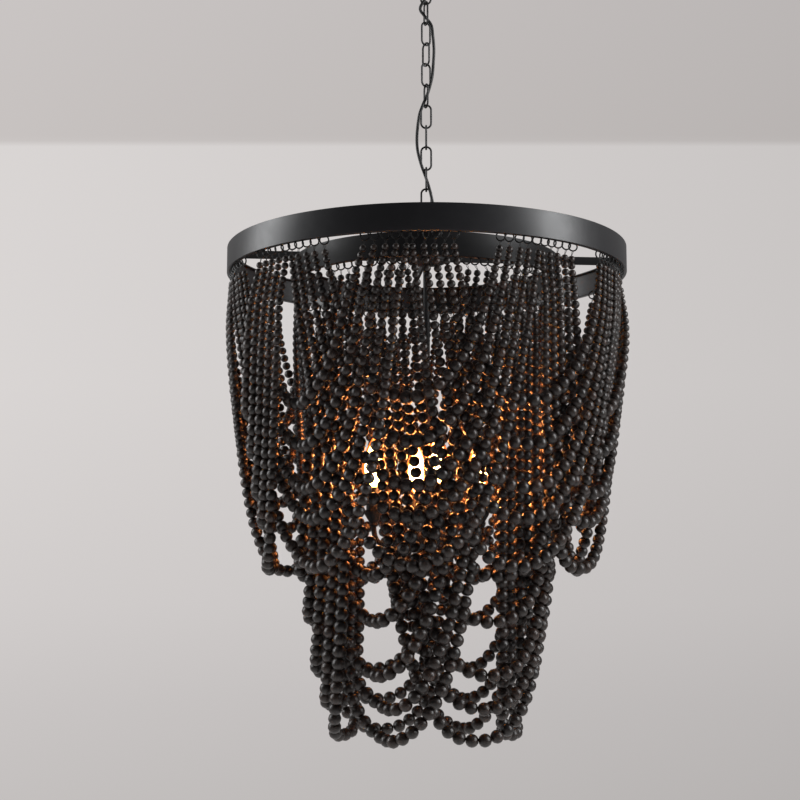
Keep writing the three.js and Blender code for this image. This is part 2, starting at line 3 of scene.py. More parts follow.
import bmesh
import bpy
import numpy as np
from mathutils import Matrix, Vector


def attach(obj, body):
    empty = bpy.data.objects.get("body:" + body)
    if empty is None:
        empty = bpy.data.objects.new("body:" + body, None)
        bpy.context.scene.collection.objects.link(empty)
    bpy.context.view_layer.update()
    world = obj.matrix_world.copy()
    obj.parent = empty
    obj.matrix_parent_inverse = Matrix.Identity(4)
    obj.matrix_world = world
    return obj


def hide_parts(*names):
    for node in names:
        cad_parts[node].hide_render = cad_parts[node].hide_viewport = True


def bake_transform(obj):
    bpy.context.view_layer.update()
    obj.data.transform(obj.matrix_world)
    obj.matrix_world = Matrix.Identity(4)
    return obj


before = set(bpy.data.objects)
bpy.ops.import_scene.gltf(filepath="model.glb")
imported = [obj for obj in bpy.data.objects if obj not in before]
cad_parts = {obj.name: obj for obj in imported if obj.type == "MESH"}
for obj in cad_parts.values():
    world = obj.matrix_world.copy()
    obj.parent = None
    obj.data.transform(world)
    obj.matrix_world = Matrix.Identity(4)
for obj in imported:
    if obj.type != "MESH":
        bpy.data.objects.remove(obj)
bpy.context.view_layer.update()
scene = bpy.context.scene
MM = 0.001
CHANDELIER = "chandelier"
CEILING = "ceiling_fitting"

# Heights and sizes in millimetres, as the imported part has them
SEAT_GAP = 0.3
SHEET = 2.0
LIP = 8.0
SPOKE_HEIGHT = 12
HOOP_TOP = -500.7
HUB_TOP = HOOP_TOP - (SHEET + SEAT_GAP)
OUTER = {"radius": 300.0, "top": HOOP_TOP, "height": 38.0}
INNER = {"radius": 200.0, "top": HUB_TOP - (SPOKE_HEIGHT + SEAT_GAP), "height": 35.0}
BAIL_CONTACT = -73.6
HUB_LOOP_CENTRE = HOOP_TOP + 23.4

# The photo's camera: focal length and width in pixels, place in metres, tilt in degrees
FOCAL_PIXELS = 1550
PHOTO_PIXELS = 800
SENSOR_WIDTH = 36
CAMERA_X = -0.040
CAMERA_Y = -2.300
CAMERA_BELOW_HOOP = 526
CAMERA_TILT = 7.45


def polar(radius, degrees, height):
    """A point at an angle from the front, -Y, that grows towards +X"""
    a = math.radians(degrees)
    return np.array([radius * math.sin(a), -radius * math.cos(a), height])


camera_data = bpy.data.cameras.new("camera")
camera_data.sensor_width = SENSOR_WIDTH
camera_data.lens = FOCAL_PIXELS / PHOTO_PIXELS * SENSOR_WIDTH
camera = bpy.data.objects.new("camera", camera_data)
scene.collection.objects.link(camera)
camera.location = (CAMERA_X, CAMERA_Y, (HOOP_TOP - CAMERA_BELOW_HOOP) * MM)
camera.rotation_euler = (math.radians(90 + CAMERA_TILT), 0, 0)
scene.camera = camera


# Helpers for shader nodes
def new_material(name):
    material = bpy.data.materials.new(name)
    material.use_nodes = True
    tree = material.node_tree
    shader = tree.nodes["Principled BSDF"]
    return material, tree, shader


def feed(tree, made, inputs):
    """Sets a node's inputs to plain values, or links outputs to them"""
    for key, source in inputs.items():
        if isinstance(source, bpy.types.NodeSocket):
            tree.links.new(source, made.inputs[key])
        else:
            made.inputs[key].default_value = source


def node(tree, kind, inputs, **settings):
    made = tree.nodes.new(kind)
    for key, value in settings.items():
        setattr(made, key, value)
    feed(tree, made, inputs)
    return made


def maths(tree, operation, *sources):
    return node(tree, "ShaderNodeMath", dict(enumerate(sources)), operation=operation).outputs[0]


def mix_colours(tree, share, first, second, blend="MIX"):
    inputs = {0: share, "A": first, "B": second}
    return node(tree, "ShaderNodeMix", inputs, data_type="RGBA", blend_type=blend).outputs["Result"]


def attribute(tree, name, output="Fac"):
    return node(tree, "ShaderNodeAttribute", {}, attribute_name=name).outputs[output]


def ramp(tree, source, stops):
    made = node(tree, "ShaderNodeValToRGB", {0: source})
    elements = made.color_ramp.elements
    while len(elements) < len(stops):
        elements.new(0.5)
    for element, (position, colour) in zip(elements, stops):
        element.position = position
        element.color = (*colour, 1)
    return made.outputs["Color"]


def grey_ramp(tree, source, stops):
    return ramp(tree, source, [(position, (level, level, level)) for position, level in stops])


def remap(tree, source, low, high, start=0.0, end=1.0):
    inputs = {"Value": source, "From Min": start, "From Max": end, "To Min": low, "To Max": high}
    return node(tree, "ShaderNodeMapRange", inputs).outputs["Result"]


def noise(tree, vector, scale, detail, rough=0.55):
    inputs = {"Vector": vector, "Scale": scale, "Detail": detail, "Roughness": rough}
    return node(tree, "ShaderNodeTexNoise", inputs).outputs["Fac"]


def bump(tree, height, strength, distance):
    inputs = {"Height": height, "Strength": strength, "Distance": distance}
    return node(tree, "ShaderNodeBump", inputs).outputs["Normal"]


def coordinates(tree):
    return tree.nodes.new("ShaderNodeTexCoord").outputs["Object"]


# Materials
def painted(name, dark, light, rough, skin_scale=900, skin=0.12, metallic=0.0, specular=0.5):
    """Paint, plating, plastic or rubber: faint patches in its colour, uneven gloss and a fine skin"""
    material, tree, shader = new_material(name)
    place = coordinates(tree)
    patches = noise(tree, place, scale=22, detail=4)
    gloss = noise(tree, place, scale=60, detail=3)
    skin_noise = noise(tree, place, skin_scale, detail=2)
    feed(tree, shader, {
        "Base Color": ramp(tree, patches, [(0.3, dark), (0.7, light)]),
        "Normal": bump(tree, skin_noise, strength=skin, distance=0.0004),
        "Roughness": remap(tree, gloss, *rough), "Metallic": metallic, "Specular IOR Level": specular})
    return material


hoop_paint = painted("hoop_paint", (0.0085, 0.0083, 0.0095), (0.0115, 0.0112, 0.0125), (0.33, 0.43),
                     specular=0.42)
# Painted shade: the outer hoop's black paint with less sheen and more roughness, so that the inner hoop looks
# shaded by the outer band
shaded_inner_paint = painted("shaded_inner_paint", (0.0085, 0.0083, 0.009), (0.0115, 0.0112, 0.012), (0.42, 0.54),
                      specular=0.24)
frame_paint = painted("frame_paint", (0.0125, 0.0122, 0.013), (0.018, 0.017, 0.0175), (0.50, 0.64),
                      specular=0.26)
chain_paint = painted("chain_paint", (0.010, 0.010, 0.0105), (0.018, 0.017, 0.0165), (0.32, 0.52), 1500, 0.2)
wire_paint = painted("wire_paint", (0.006, 0.006, 0.0062), (0.014, 0.0135, 0.013), (0.30, 0.42), 2500, 0.1,
                     specular=0.3)
sleeve_paint = painted("sleeve_paint", (0.013, 0.0125, 0.0125), (0.020, 0.019, 0.0185), (0.42, 0.56),
                       700, 0.15)
zinc = painted("zinc", (0.42, 0.43, 0.44), (0.60, 0.61, 0.61), (0.28, 0.42), 1200, 0.1, metallic=1.0)
brass = painted("brass", (0.62, 0.42, 0.16), (0.78, 0.58, 0.27), (0.22, 0.36), 1400, 0.1, metallic=1.0)
black_plastic = painted("black_plastic", (0.016, 0.016, 0.017), (0.024, 0.024, 0.025), (0.45, 0.6),
                        1800, 0.2)
cable_rubber = painted("cable_rubber", (0.011, 0.011, 0.011), (0.018, 0.0175, 0.017), (0.42, 0.58),
                       1300, 0.25)
grommet_rubber = painted("grommet_rubber", (0.012, 0.012, 0.012), (0.020, 0.020, 0.019), (0.6, 0.75),
                         1600, 0.3)
wire_sheath = painted("wire_sheath", (0.09, 0.05, 0.035), (0.16, 0.10, 0.07), (0.4, 0.55), 1500, 0.2)


def stained_wood():
    """Dark stained wood: fine grain along the string, a little lighter or browner from bead to bead"""
    material, tree, shader = new_material("stained_wood")
    grain = {"Vector": attribute(tree, "grain", "Vector"), "Scale": (0.16, 1.0, 1.0)}
    place = node(tree, "ShaderNodeMapping", grain).outputs["Vector"]
    fibres = noise(tree, place, scale=1.1, detail=6, rough=0.62)
    bands = {"Vector": place, "Scale": 0.17, "Distortion": 3.5, "Detail": 2.0}
    rings = node(tree, "ShaderNodeTexWave", bands, wave_type="BANDS", bands_direction="Y").outputs["Fac"]
    figure = maths(tree, "MULTIPLY", fibres, remap(tree, rings, 0.72, 1.15))
    base = ramp(tree, figure, [
        (0.28, (0.0024, 0.0017, 0.0014)), (0.46, (0.0088, 0.0052, 0.0040)),
        (0.58, (0.024, 0.0143, 0.0106)), (0.74, (0.078, 0.047, 0.035))])
    tone = ramp(tree, attribute(tree, "tone"), [
        (0.0, (0.50, 0.56, 0.62)), (0.45, (1.0, 1.0, 1.0)), (0.8, (1.5, 1.3, 1.18)), (1.0, (2.3, 1.75, 1.5))])
    feed(tree, shader, {
        "Base Color": mix_colours(tree, 1.0, base, tone, "MULTIPLY"),
        "Normal": bump(tree, figure, strength=0.48, distance=0.0005),
        "Roughness": remap(tree, fibres, 0.24, 0.48), "Specular IOR Level": 0.48})
    return material


def thread_material():
    """The dark twisted cord inside the beads"""
    material, tree, shader = new_material("bead_thread")
    strands = noise(tree, coordinates(tree), scale=2600, detail=2)
    colour = ramp(tree, strands, [(0.35, (0.006, 0.006, 0.006)), (0.65, (0.022, 0.019, 0.017))])
    feed(tree, shader, {"Base Color": colour, "Roughness": remap(tree, strands, 0.55, 0.8),
                        "Normal": bump(tree, strands, strength=0.4, distance=0.0003)})
    return material


def lit_glass():
    """A lit candle bulb: white hot in the middle, amber towards its neck, tip and edges"""
    material, tree, shader = new_material("lit_glass")
    strong = grey_ramp(tree, attribute(tree, "along"), [
        (0.0, 0), (0.05, 0.05), (0.12, 0.5), (0.30, 1), (0.62, 1), (0.80, 0.3), (0.92, 0.02), (1.0, 0)])
    facing = node(tree, "ShaderNodeLayerWeight", {"Blend": 0.5}).outputs["Facing"]
    core = grey_ramp(tree, facing, [(0.0, 1), (0.24, 0.6), (0.36, 0.07), (0.40, 0.003), (0.50, 0)])
    heat = maths(tree, "MULTIPLY", strong, core)
    glow = ramp(tree, heat, [
        (0.0, (1.0, 0.24, 0.04)), (0.012, (1.0, 0.30, 0.065)), (0.05, (1.0, 0.32, 0.08))])
    ripples = noise(tree, coordinates(tree), scale=90, detail=2)
    feed(tree, shader, {
        "Base Color": glow, "Emission Color": glow, "Roughness": remap(tree, ripples, 0.08, 0.16),
        "Emission Strength": maths(tree, "MULTIPLY_ADD", heat, 250.0, 0.9),
        "Normal": bump(tree, ripples, strength=0.05, distance=0.001)})
    return material


wood = stained_wood()
thread = thread_material()
bulb_glass = lit_glass()

# Helpers for meshes, in millimetres
ON_AXIS = 1e-6
LONGEST_REACH = 0.45


def add_to_scene(name, mesh):
    piece = bpy.data.objects.new(name, mesh)
    scene.collection.objects.link(piece)
    return piece


def place_mesh(name, verts, faces, material, angle=40):
    mesh = bpy.data.meshes.new(name)
    mesh.from_pydata((np.asarray(verts, float) * MM).tolist(), [], faces)
    mesh.validate()
    mesh.update()
    piece = add_to_scene(name, mesh)
    mesh.materials.append(material)
    mesh.shade_smooth()
    mesh.set_sharp_from_angle(angle=math.radians(angle))
    outward(piece)
    return piece


def merged(*parts):
    verts, faces, start = [], [], 0
    for part_verts, part_faces in parts:
        verts.extend([tuple(v) for v in part_verts])
        faces.extend([tuple(i + start for i in f) for f in part_faces])
        start += len(part_verts)
    return verts, faces


def raised(profile, height):
    """A profile of (radius, rise) corners, its rises counted from a height"""
    return [(radius, height + rise) for radius, rise in profile]


def softened(profile, radius, closed=True, steps=3):
    """A profile of (radius, height) corners with each corner rounded off; a corner on the axis stays"""
    count = len(profile)
    out = []
    for i, corner in enumerate(profile):
        p = np.array(corner, float)
        if not closed and i in (0, count - 1) or abs(p[0]) < ON_AXIS:
            out.append(tuple(p))
            continue
        before = np.array(profile[(i - 1) % count], float) - p
        after = np.array(profile[(i + 1) % count], float) - p
        lb, la = np.linalg.norm(before), np.linalg.norm(after)
        reach = min(radius, lb * LONGEST_REACH, la * LONGEST_REACH)
        a, b = p + before / lb * reach, p + after / la * reach
        for k in range(steps + 1):
            t = k / steps
            out.append(tuple((1 - t) ** 2 * a + 2 * t * (1 - t) * p + t * t * b))
    return out


def arc(centre, radius, start, end, steps):
    """Points of an arc as (radius, height), both ends included"""
    angles = [start + k / steps * (end - start) for k in range(steps + 1)]
    return [(centre[0] + radius * math.cos(a), centre[1] + radius * math.sin(a)) for a in angles]


def bezier(p0, p1, p2, p3, steps):
    """Points of a cubic curve, both ends included"""
    points = []
    for k in range(steps + 1):
        t = k / steps
        points.append((1 - t) ** 3 * p0 + 3 * t * (1 - t) ** 2 * p1 + 3 * t * t * (1 - t) * p2 + t ** 3 * p3)
    return points


def lathe(profile, segments, centre=(0, 0), closed=True, radius_at=None):
    """Verts and faces of a profile turned round a vertical axis; points on the axis close as poles"""
    verts, rings = [], []
    for radius, height in profile:
        if abs(radius) < ON_AXIS:
            rings.append([len(verts)])
            verts.append((centre[0], centre[1], height))
            continue
        ring = []
        for k in range(segments):
            a = 2 * math.pi * k / segments
            r = radius if radius_at is None else radius_at(radius, height, a)
            ring.append(len(verts))
            verts.append((centre[0] + r * math.cos(a), centre[1] + r * math.sin(a), height))
        rings.append(ring)
    faces = []
    pairs = list(zip(rings, rings[1:]))
    if closed and len(rings[0]) > 1 and len(rings[-1]) > 1:
        pairs.append((rings[-1], rings[0]))
    for low, high in pairs:
        for k in range(segments):
            n = (k + 1) % segments
            if len(low) == 1 and len(high) == 1:
                continue
            if len(low) == 1:
                faces.append((low[0], high[n], high[k]))
            elif len(high) == 1:
                faces.append((low[k], low[n], high[0]))
            else:
                faces.append((low[k], low[n], high[n], high[k]))
    return verts, faces


def tube(points, radius, sides, closed=False):
    """A round tube along points, with a radius or one radius for each point; open ends are capped"""
    points = np.asarray(points, float)
    count = len(points)
    radii = np.full(count, radius, float) if np.isscalar(radius) else np.asarray(radius, float)
    if closed:
        tangents = np.roll(points, -1, 0) - np.roll(points, 1, 0)
    else:
        tangents = np.gradient(points, axis=0)
    tangents /= np.linalg.norm(tangents, axis=1)[:, None]
    side = np.cross(tangents[0], (0, 0, 1.0))
    if np.linalg.norm(side) < 1e-3:
        side = np.cross(tangents[0], (0, 1.0, 0))
    side /= np.linalg.norm(side)
    verts = []
    for i in range(count):
        side = side - tangents[i] * np.dot(side, tangents[i])
        side /= np.linalg.norm(side)
        up = np.cross(tangents[i], side)
        for j in range(sides):
            a = 2 * math.pi * j / sides
            verts.append(points[i] + radii[i] * (math.cos(a) * side + math.sin(a) * up))
    faces = []
    for i in range(count if closed else count - 1):
        n = (i + 1) % count
        shift = 0
        if closed and n == 0:
            gaps = [np.linalg.norm(verts[(count - 1) * sides] - verts[j]) for j in range(sides)]
            shift = int(np.argmin(gaps))
        for j in range(sides):
            k = (j + 1) % sides
            faces.append((i * sides + j, i * sides + k, n * sides + (k + shift) % sides,
                          n * sides + (j + shift) % sides))
    if not closed:
        faces.append(tuple(range(sides - 1, -1, -1)))
        faces.append(tuple(range((count - 1) * sides, count * sides)))
    return verts, faces


def block(low, high, bevel):
    """A box with its edges bevelled, as verts and faces"""
    low, high = np.array(low, float), np.array(high, float)
    mid, half = (low + high) / 2, (high - low) / 2
    inner = half - bevel
    corners = [(sx, sy, sz) for sx in (-1, 1) for sy in (-1, 1) for sz in (-1, 1)]
    verts, faces = [], []
    index = {}
    for corner in corners:
        for axis in range(3):
            p = mid + np.array(corner) * inner
            p[axis] = mid[axis] + corner[axis] * half[axis]
            index[(*corner, axis)] = len(verts)
            verts.append(p)
    for axis in range(3):
        u, v = [a for a in range(3) if a != axis]
        for s in (-1, 1):
            quad = []
            for su, sv in ((-1, -1), (1, -1), (1, 1), (-1, 1)):
                signs = [0, 0, 0]
                signs[axis], signs[u], signs[v] = s, su, sv
                quad.append(index[(*signs, axis)])
            flipped = (axis == 1) != (s == -1)
            faces.append(tuple(reversed(quad)) if flipped else tuple(quad))
    for axis in range(3):
        u, v = [a for a in range(3) if a != axis]
        for su in (-1, 1):
            for sv in (-1, 1):
                ends = []
                for s in (-1, 1):
                    signs = [0, 0, 0]
                    signs[axis], signs[u], signs[v] = s, su, sv
                    ends.append((index[(*signs, u)], index[(*signs, v)]))
                faces.append((ends[0][0], ends[0][1], ends[1][1], ends[1][0]))
    for corner in corners:
        faces.append(tuple(index[(*corner, axis)] for axis in range(3)))
    return verts, faces


def turned(part, degrees):
    verts, faces = part
    a = math.radians(degrees)
    c, s = math.cos(a), math.sin(a)
    return [(c * x - s * y, s * x + c * y, z) for x, y, z in verts], faces


def outward(piece):
    """Makes every face look out of the solid"""
    bm = bmesh.new()
    bm.from_mesh(piece.data)
    bmesh.ops.recalc_face_normals(bm, faces=bm.faces)
    bm.to_mesh(piece.data)
    bm.free()


def dress(name, part, material, body, nodes, angle=40):
    """A finished piece that rides on a body and stands for CAD nodes"""
    piece = place_mesh(name, *part, material, angle)
    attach(piece, body)
    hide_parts(*nodes)
    return piece


def smooth_route(points, fine):
    """A centripetal curve through the points"""
    p = [np.array(q, float) for q in points]
    out = []
    for i in range(len(p) - 1):
        p1, p2 = p[i], p[i + 1]
        p0 = p[i - 1] if i else 2 * p1 - p2
        p3 = p[i + 2] if i + 2 < len(p) else 2 * p2 - p1
        d0, d1, d2 = (np.linalg.norm(b - a) ** 0.5 for a, b in ((p0, p1), (p1, p2), (p2, p3)))
        t1 = ((p1 - p0) / d0 - (p2 - p0) / (d0 + d1) + (p2 - p1) / d1) * d1
        t2 = ((p2 - p1) / d1 - (p3 - p1) / (d1 + d2) + (p3 - p2) / d2) * d1
        for k in range(fine):
            u = k / fine
            out.append(p1 * (2 * u ** 3 - 3 * u ** 2 + 1) + t1 * (u ** 3 - 2 * u ** 2 + u)
                       + p2 * (3 * u ** 2 - 2 * u ** 3) + t2 * (u ** 3 - u ** 2))
    out.append(p[-1])
    return np.array(out)


def steps_along(points):
    return np.linalg.norm(np.diff(points, axis=0), axis=1)


def run_along(points):
    """How far along a line each of its points is"""
    return np.concatenate([[0], np.cumsum(steps_along(points))])


def points_at(points, run, at):
    """The points that lie so far along a line"""
    return np.stack([np.interp(at, run, points[:, k]) for k in range(3)], 1)


# Power cable: points across, back and above the hoops' top, from the nipple to the terminal block
CABLE_ROUTE = [
    (0, 0, 500.2), (0, 0, 480), (0, 0, 461), (1, -0.8, 451), (5.2, -4.3, 434.2), (7.4, -7.4, 419),
    (4.6, -8.6, 406), (-3, -8.1, 395), (-8.9, -5, 382.9), (-1.5, -2.6, 371.9), (7.9, -2.4, 358.7),
    (10.4, -4.6, 341.9), (12.2, -0.2, 322), (11.3, -0.2, 298.1), (9.1, -4.1, 273.8), (2.2, -2.5, 248.1),
    (-5.3, -4.8, 229.1), (-9.9, -4.1, 216), (-12.8, -0.6, 198.2), (-14.2, 0.2, 178.1), (-13.2, -1.2, 159.9),
    (-8.4, -5.3, 138), (-0.5, -2.7, 115.9), (4.9, -4.7, 97.5), (9.3, -4.7, 77.1), (12.6, -5.3, 54.9),
    (15.2, -3, 32.2), (16, 0, 14), (16, 0, -7.3),
]
CABLE_RADIUS = 2.3
CABLE_SIDES = 14
CABLE_FINE = 10
CABLE_STATIONS = 330
# Heights where the cable is cut into pieces; the third rides on the hanging chain, the others stay in place
CABLE_CUTS = [-94.0, -168.0, -428.0]
CABLE_NAMES = ["power_cable_top", "power_cable_bend", "power_cable_drop", "power_cable_tail"]

route = smooth_route([(x, y, HOOP_TOP + h) for x, y, h in CABLE_ROUTE], CABLE_FINE)
cable_run = run_along(route)
route = points_at(route, cable_run, np.linspace(0, cable_run[-1], CABLE_STATIONS))
splits = [0] + [int(np.argmax(route[:, 2] <= z)) for z in CABLE_CUTS] + [len(route) - 1]
for k, name in enumerate(CABLE_NAMES):
    path = route[splits[k]:splits[k + 1] + 1]
    piece = place_mesh(name, *tube(path, CABLE_RADIUS, CABLE_SIDES), cable_rubber)
    if k == 0:
        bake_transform(piece)
        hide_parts("power_cable")
    elif k == 1:
        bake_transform(piece)
    elif k == 2:
        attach(piece, "hanging_chain")
    else:
        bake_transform(piece)


# Ceiling fitting, its heights from the ceiling down
NIPPLE_BORE = 3.5
NIPPLE_END = 4.4
NIPPLE_BOTTOM = -36.0
NIPPLE_HOLE = 5.3
THREAD_CREST = 5.0
THREAD_ROOT = 4.62
THREAD_TOP = -0.4
THREAD_STEP = 0.53
THREAD_EDGES = 67
CANOPY_RADIUS = 60.0
CANOPY_BOTTOM = -25.0
CANOPY_SHEET = 1.5
CANOPY_EDGE = 6.0
CANOPY_EDGE_STEPS = 8
CANOPY_RIM = [(60.0, -2.2), (59.9, -0.4), (59.5, 0.0), (58.8, 0.0), (58.5, -0.4)]
NUT_RADIUS = 11.0
NUT_TOP = -25.3
NUT_BOTTOM = -31.3
KNURL_INSIDE = 10.5
KNURL_TOP = -26.6
KNURL_BOTTOM = -30.0
KNURL_DEPTH = 0.28
KNURL_TEETH = 36
COLLAR_RADIUS = 10.0
COLLAR_TOP = -31.6
COLLAR_BOTTOM = -41.6
COLLAR_SOCKET_FLOOR = -36.6
BAIL_WIRE = 2.0
BAIL_ROOT = -38.5
BAIL_SEAT = 6.0
BAIL_ARC = 12.0
BAIL_ARC_CENTRE = -63.6
BAIL_PULL = 11.0
BAIL_STEPS = 12


def nipple():
    edges = [(THREAD_CREST if k % 2 else THREAD_ROOT, THREAD_TOP - k * THREAD_STEP)
             for k in range(THREAD_EDGES)]
    top = [(NIPPLE_BORE, 0.0), (NIPPLE_END, 0.0)]
    bottom = [(NIPPLE_END, NIPPLE_BOTTOM), (NIPPLE_BORE, NIPPLE_BOTTOM)]
    return lathe(top + edges + bottom, 40)


def canopy():
    centre = (CANOPY_RADIUS - CANOPY_EDGE, CANOPY_BOTTOM + CANOPY_EDGE)
    quarter = math.pi / 2
    outside = arc(centre, CANOPY_EDGE, -quarter, 0, CANOPY_EDGE_STEPS)
    inside = arc(centre, CANOPY_EDGE - CANOPY_SHEET, 0, -quarter, CANOPY_EDGE_STEPS)
    hole = [(NIPPLE_HOLE, CANOPY_BOTTOM + CANOPY_SHEET)]
    return lathe([(NIPPLE_HOLE, CANOPY_BOTTOM)] + outside + CANOPY_RIM + inside + hole, 128)


def knurl(radius, height, angle):
    if radius < KNURL_INSIDE or height > KNURL_TOP or height < KNURL_BOTTOM:
        return radius
    return radius - KNURL_DEPTH * (0.5 + 0.5 * math.cos(KNURL_TEETH * angle))


def ring_nut():
    profile = [(NIPPLE_HOLE, NUT_BOTTOM), (NUT_RADIUS, NUT_BOTTOM), (NUT_RADIUS, -29.9), (NUT_RADIUS, -26.7),
               (NUT_RADIUS, NUT_TOP), (NIPPLE_HOLE, NUT_TOP)]
    return lathe(softened(profile, 0.7), 6 * KNURL_TEETH, radius_at=knurl)


def ceiling_loop():
    """A collar with a wire bail: down from its two feet, widening, and round the bottom"""
    collar = softened([
        (NIPPLE_HOLE, COLLAR_TOP), (NIPPLE_HOLE, COLLAR_SOCKET_FLOOR), (NIPPLE_BORE, COLLAR_SOCKET_FLOOR),
        (NIPPLE_BORE, COLLAR_BOTTOM), (COLLAR_RADIUS, COLLAR_BOTTOM), (COLLAR_RADIUS, COLLAR_TOP)], 0.8)
    pull = np.array([0, 0, BAIL_PULL])
    foot = np.array([0, -BAIL_SEAT, COLLAR_BOTTOM])
    side = np.array([0, -BAIL_ARC, BAIL_ARC_CENTRE])
    half = [np.array([0, -BAIL_SEAT, BAIL_ROOT])] + bezier(foot, foot - pull, side + pull, side, BAIL_STEPS)
    for k in range(1, BAIL_STEPS + 1):
        a = k / BAIL_STEPS * math.pi / 2
        half.append(np.array([0, -BAIL_ARC * math.cos(a), BAIL_ARC_CENTRE - BAIL_ARC * math.sin(a)]))
    bail = half + [p * np.array([1, -1, 1]) for p in reversed(half[:-1])]
    return merged(lathe(collar, 72), tube(bail, BAIL_WIRE, 18))


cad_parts["mounting_strap"].data.materials[0] = zinc
dress("nipple_form", nipple(), zinc, CEILING, ["threaded_nipple"], 60)
dress("canopy_form", canopy(), frame_paint, CEILING, ["ceiling_canopy"], 30)
dress("ring_nut_form", ring_nut(), frame_paint, CEILING, ["canopy_ring_nut"])
dress("ceiling_loop_form", ceiling_loop(), frame_paint, CEILING, ["ceiling_loop"])

# Chain
LINK_COUNT = 12
LINK_PITCH = 33.0
LINK_INNER_LENGTH = 33.3
LINK_WIRE = 1.5
LINK_ARC = 7.6
LINK_ARC_STEPS = 18
LINK_SIDE_STEPS = 8
WELD_SIDE = -7
WELD_RISE = 0.16
WELD_LENGTH = 1.6
CHAIN_TWIST = 38
TWISTED_LINKS = 6


def link(index):
    """An oval link of bent wire with its butt weld on one straight side"""
    straight = LINK_INNER_LENGTH / 2 + LINK_WIRE - LINK_ARC
    points = []
    for end in (1, -1):
        for k in range(LINK_ARC_STEPS + 1):
            a = k / LINK_ARC_STEPS * math.pi
            points.append((end * LINK_ARC * math.cos(a), 0.0, end * (straight + LINK_ARC * math.sin(a))))
        for k in range(1, LINK_SIDE_STEPS):
            points.append((-end * LINK_ARC, 0.0, end * straight * (1 - 2 * k / LINK_SIDE_STEPS)))
    points = np.array(points)
    weld = np.where(points[:, 0] < WELD_SIDE, np.exp(-(points[:, 2] / WELD_LENGTH) ** 2), 0)
    wire = tube(points, LINK_WIRE + WELD_RISE * weld, 12, closed=True)
    twist = CHAIN_TWIST * math.sin(math.pi * max(TWISTED_LINKS - index, 0) / TWISTED_LINKS)
    verts, faces = turned(wire, twist + 90 * index)
    centre = BAIL_CONTACT + LINK_INNER_LENGTH / 2 - (index + 1) * LINK_PITCH
    return [(x, y, z + centre) for x, y, z in verts], faces


for i in range(LINK_COUNT):
    cad_name = "chain_link_%02d" % (i + 1)
    body = "first_link" if i == 0 else "hanging_chain"
    dress(cad_name + "_form", link(i), chain_paint, body, [cad_name])

# Hub and spokes, with outlines as (radius, rise) from the hub's top, bottom or loop
HUB_RADIUS = 28
HUB_BOTTOM = HUB_TOP - SPOKE_HEIGHT
HUB_LOOP_RADIUS = 10
HUB_LOOP_WIRE = 2.0
HUB_LOOP_POINTS = 48
STEM_FOOT = [(0, 0.3), (5.2, 0.3), (5.2, 2.2), (4.0, 3.4)]
STEM_HEAD = [(3.6, -12), (2.6, -9), (0, -9)]
SPOKE_COUNT = 4
SPOKE_DEGREES = 5
SPOKE_LOW = (26.5, -2.0, HUB_BOTTOM)
SPOKE_HIGH = (296.2, 2.0, HUB_TOP)
SPOKE_FOOT_LOW = (27.2, -3.4, HUB_TOP - 11.6)
SPOKE_FOOT_HIGH = (29.6, 3.4, HUB_TOP - 0.8)
COVER = [(5.3, -2.3), (28.0, -2.3), (28.0, -0.3), (5.3, -0.3)]
COVER_SCREW = [(0, -4.2), (1.6, -4.1), (3.0, -2.9), (3.0, -2.3), (0, -2.3)]
COVER_SCREW_COUNT = 3
COVER_SCREW_CIRCLE = 19
COVER_SCREW_DEGREES = 60
GROMMET_X = 16
GROMMET = [(2.6, -2.3), (4.8, -2.3), (4.8, 0.3), (6.5, 0.3), (6.3, 1.4), (4.2, 2.8), (2.6, 2.8)]
TERMINAL_TOP = HUB_TOP - 5.3
TERMINAL_LOW = (GROMMET_X - 8, -6, TERMINAL_TOP - 6)
TERMINAL_HIGH = (GROMMET_X + 8, 6, TERMINAL_TOP)
TERMINAL_SCREW = [(0, 0.15), (1.9, 0.15), (1.9, -1.0), (0, -1.0)]
TERMINAL_SCREW_X = 4
TERMINAL_SCREW_Y = 3


def hub_loop():
    ring = [(HUB_LOOP_RADIUS * math.cos(a), 0, HUB_LOOP_CENTRE + HUB_LOOP_RADIUS * math.sin(a))
            for a in np.linspace(0, 2 * math.pi, HUB_LOOP_POINTS + 1)[:-1]]
    stem = softened(raised(STEM_FOOT, HUB_TOP) + raised(STEM_HEAD, HUB_LOOP_CENTRE), 0.5)
    return merged(tube(ring, HUB_LOOP_WIRE, 16, closed=True), lathe(stem, 40))


def spoked_hub():
    inside = HUB_RADIUS - SHEET
    cup = softened([(0, HUB_TOP - SHEET), (inside, HUB_TOP - SHEET), (inside, HUB_BOTTOM),
                    (HUB_RADIUS, HUB_BOTTOM), (HUB_RADIUS, HUB_TOP), (0, HUB_TOP)], 1.6, steps=4)
    spoke = block(SPOKE_LOW, SPOKE_HIGH, 0.5)
    foot = block(SPOKE_FOOT_LOW, SPOKE_FOOT_HIGH, 0.9)
    parts = [lathe(cup, 96)]
    for i in range(SPOKE_COUNT):
        degrees = SPOKE_DEGREES - 90 + 90 * i
        parts += [turned(spoke, degrees), turned(foot, degrees)]
    return merged(*parts)


def hub_cover():
    head = softened(raised(COVER_SCREW, HUB_BOTTOM), 0.4)
    screws = []
    for i in range(COVER_SCREW_COUNT):
        degrees = COVER_SCREW_DEGREES + 360 / COVER_SCREW_COUNT * i
        x, y, _ = polar(COVER_SCREW_CIRCLE, degrees, 0)
        screws.append(lathe(head, 24, centre=(x, y)))
    return merged(lathe(softened(raised(COVER, HUB_BOTTOM), 0.6), 96), *screws)


def terminal_block():
    screw = softened(raised(TERMINAL_SCREW, TERMINAL_TOP), 0.2)
    screws = [lathe(screw, 20, centre=(GROMMET_X + side * TERMINAL_SCREW_X, TERMINAL_SCREW_Y))
              for side in (-1, 1)]
    return merged(block(TERMINAL_LOW, TERMINAL_HIGH, 0.7), *screws)


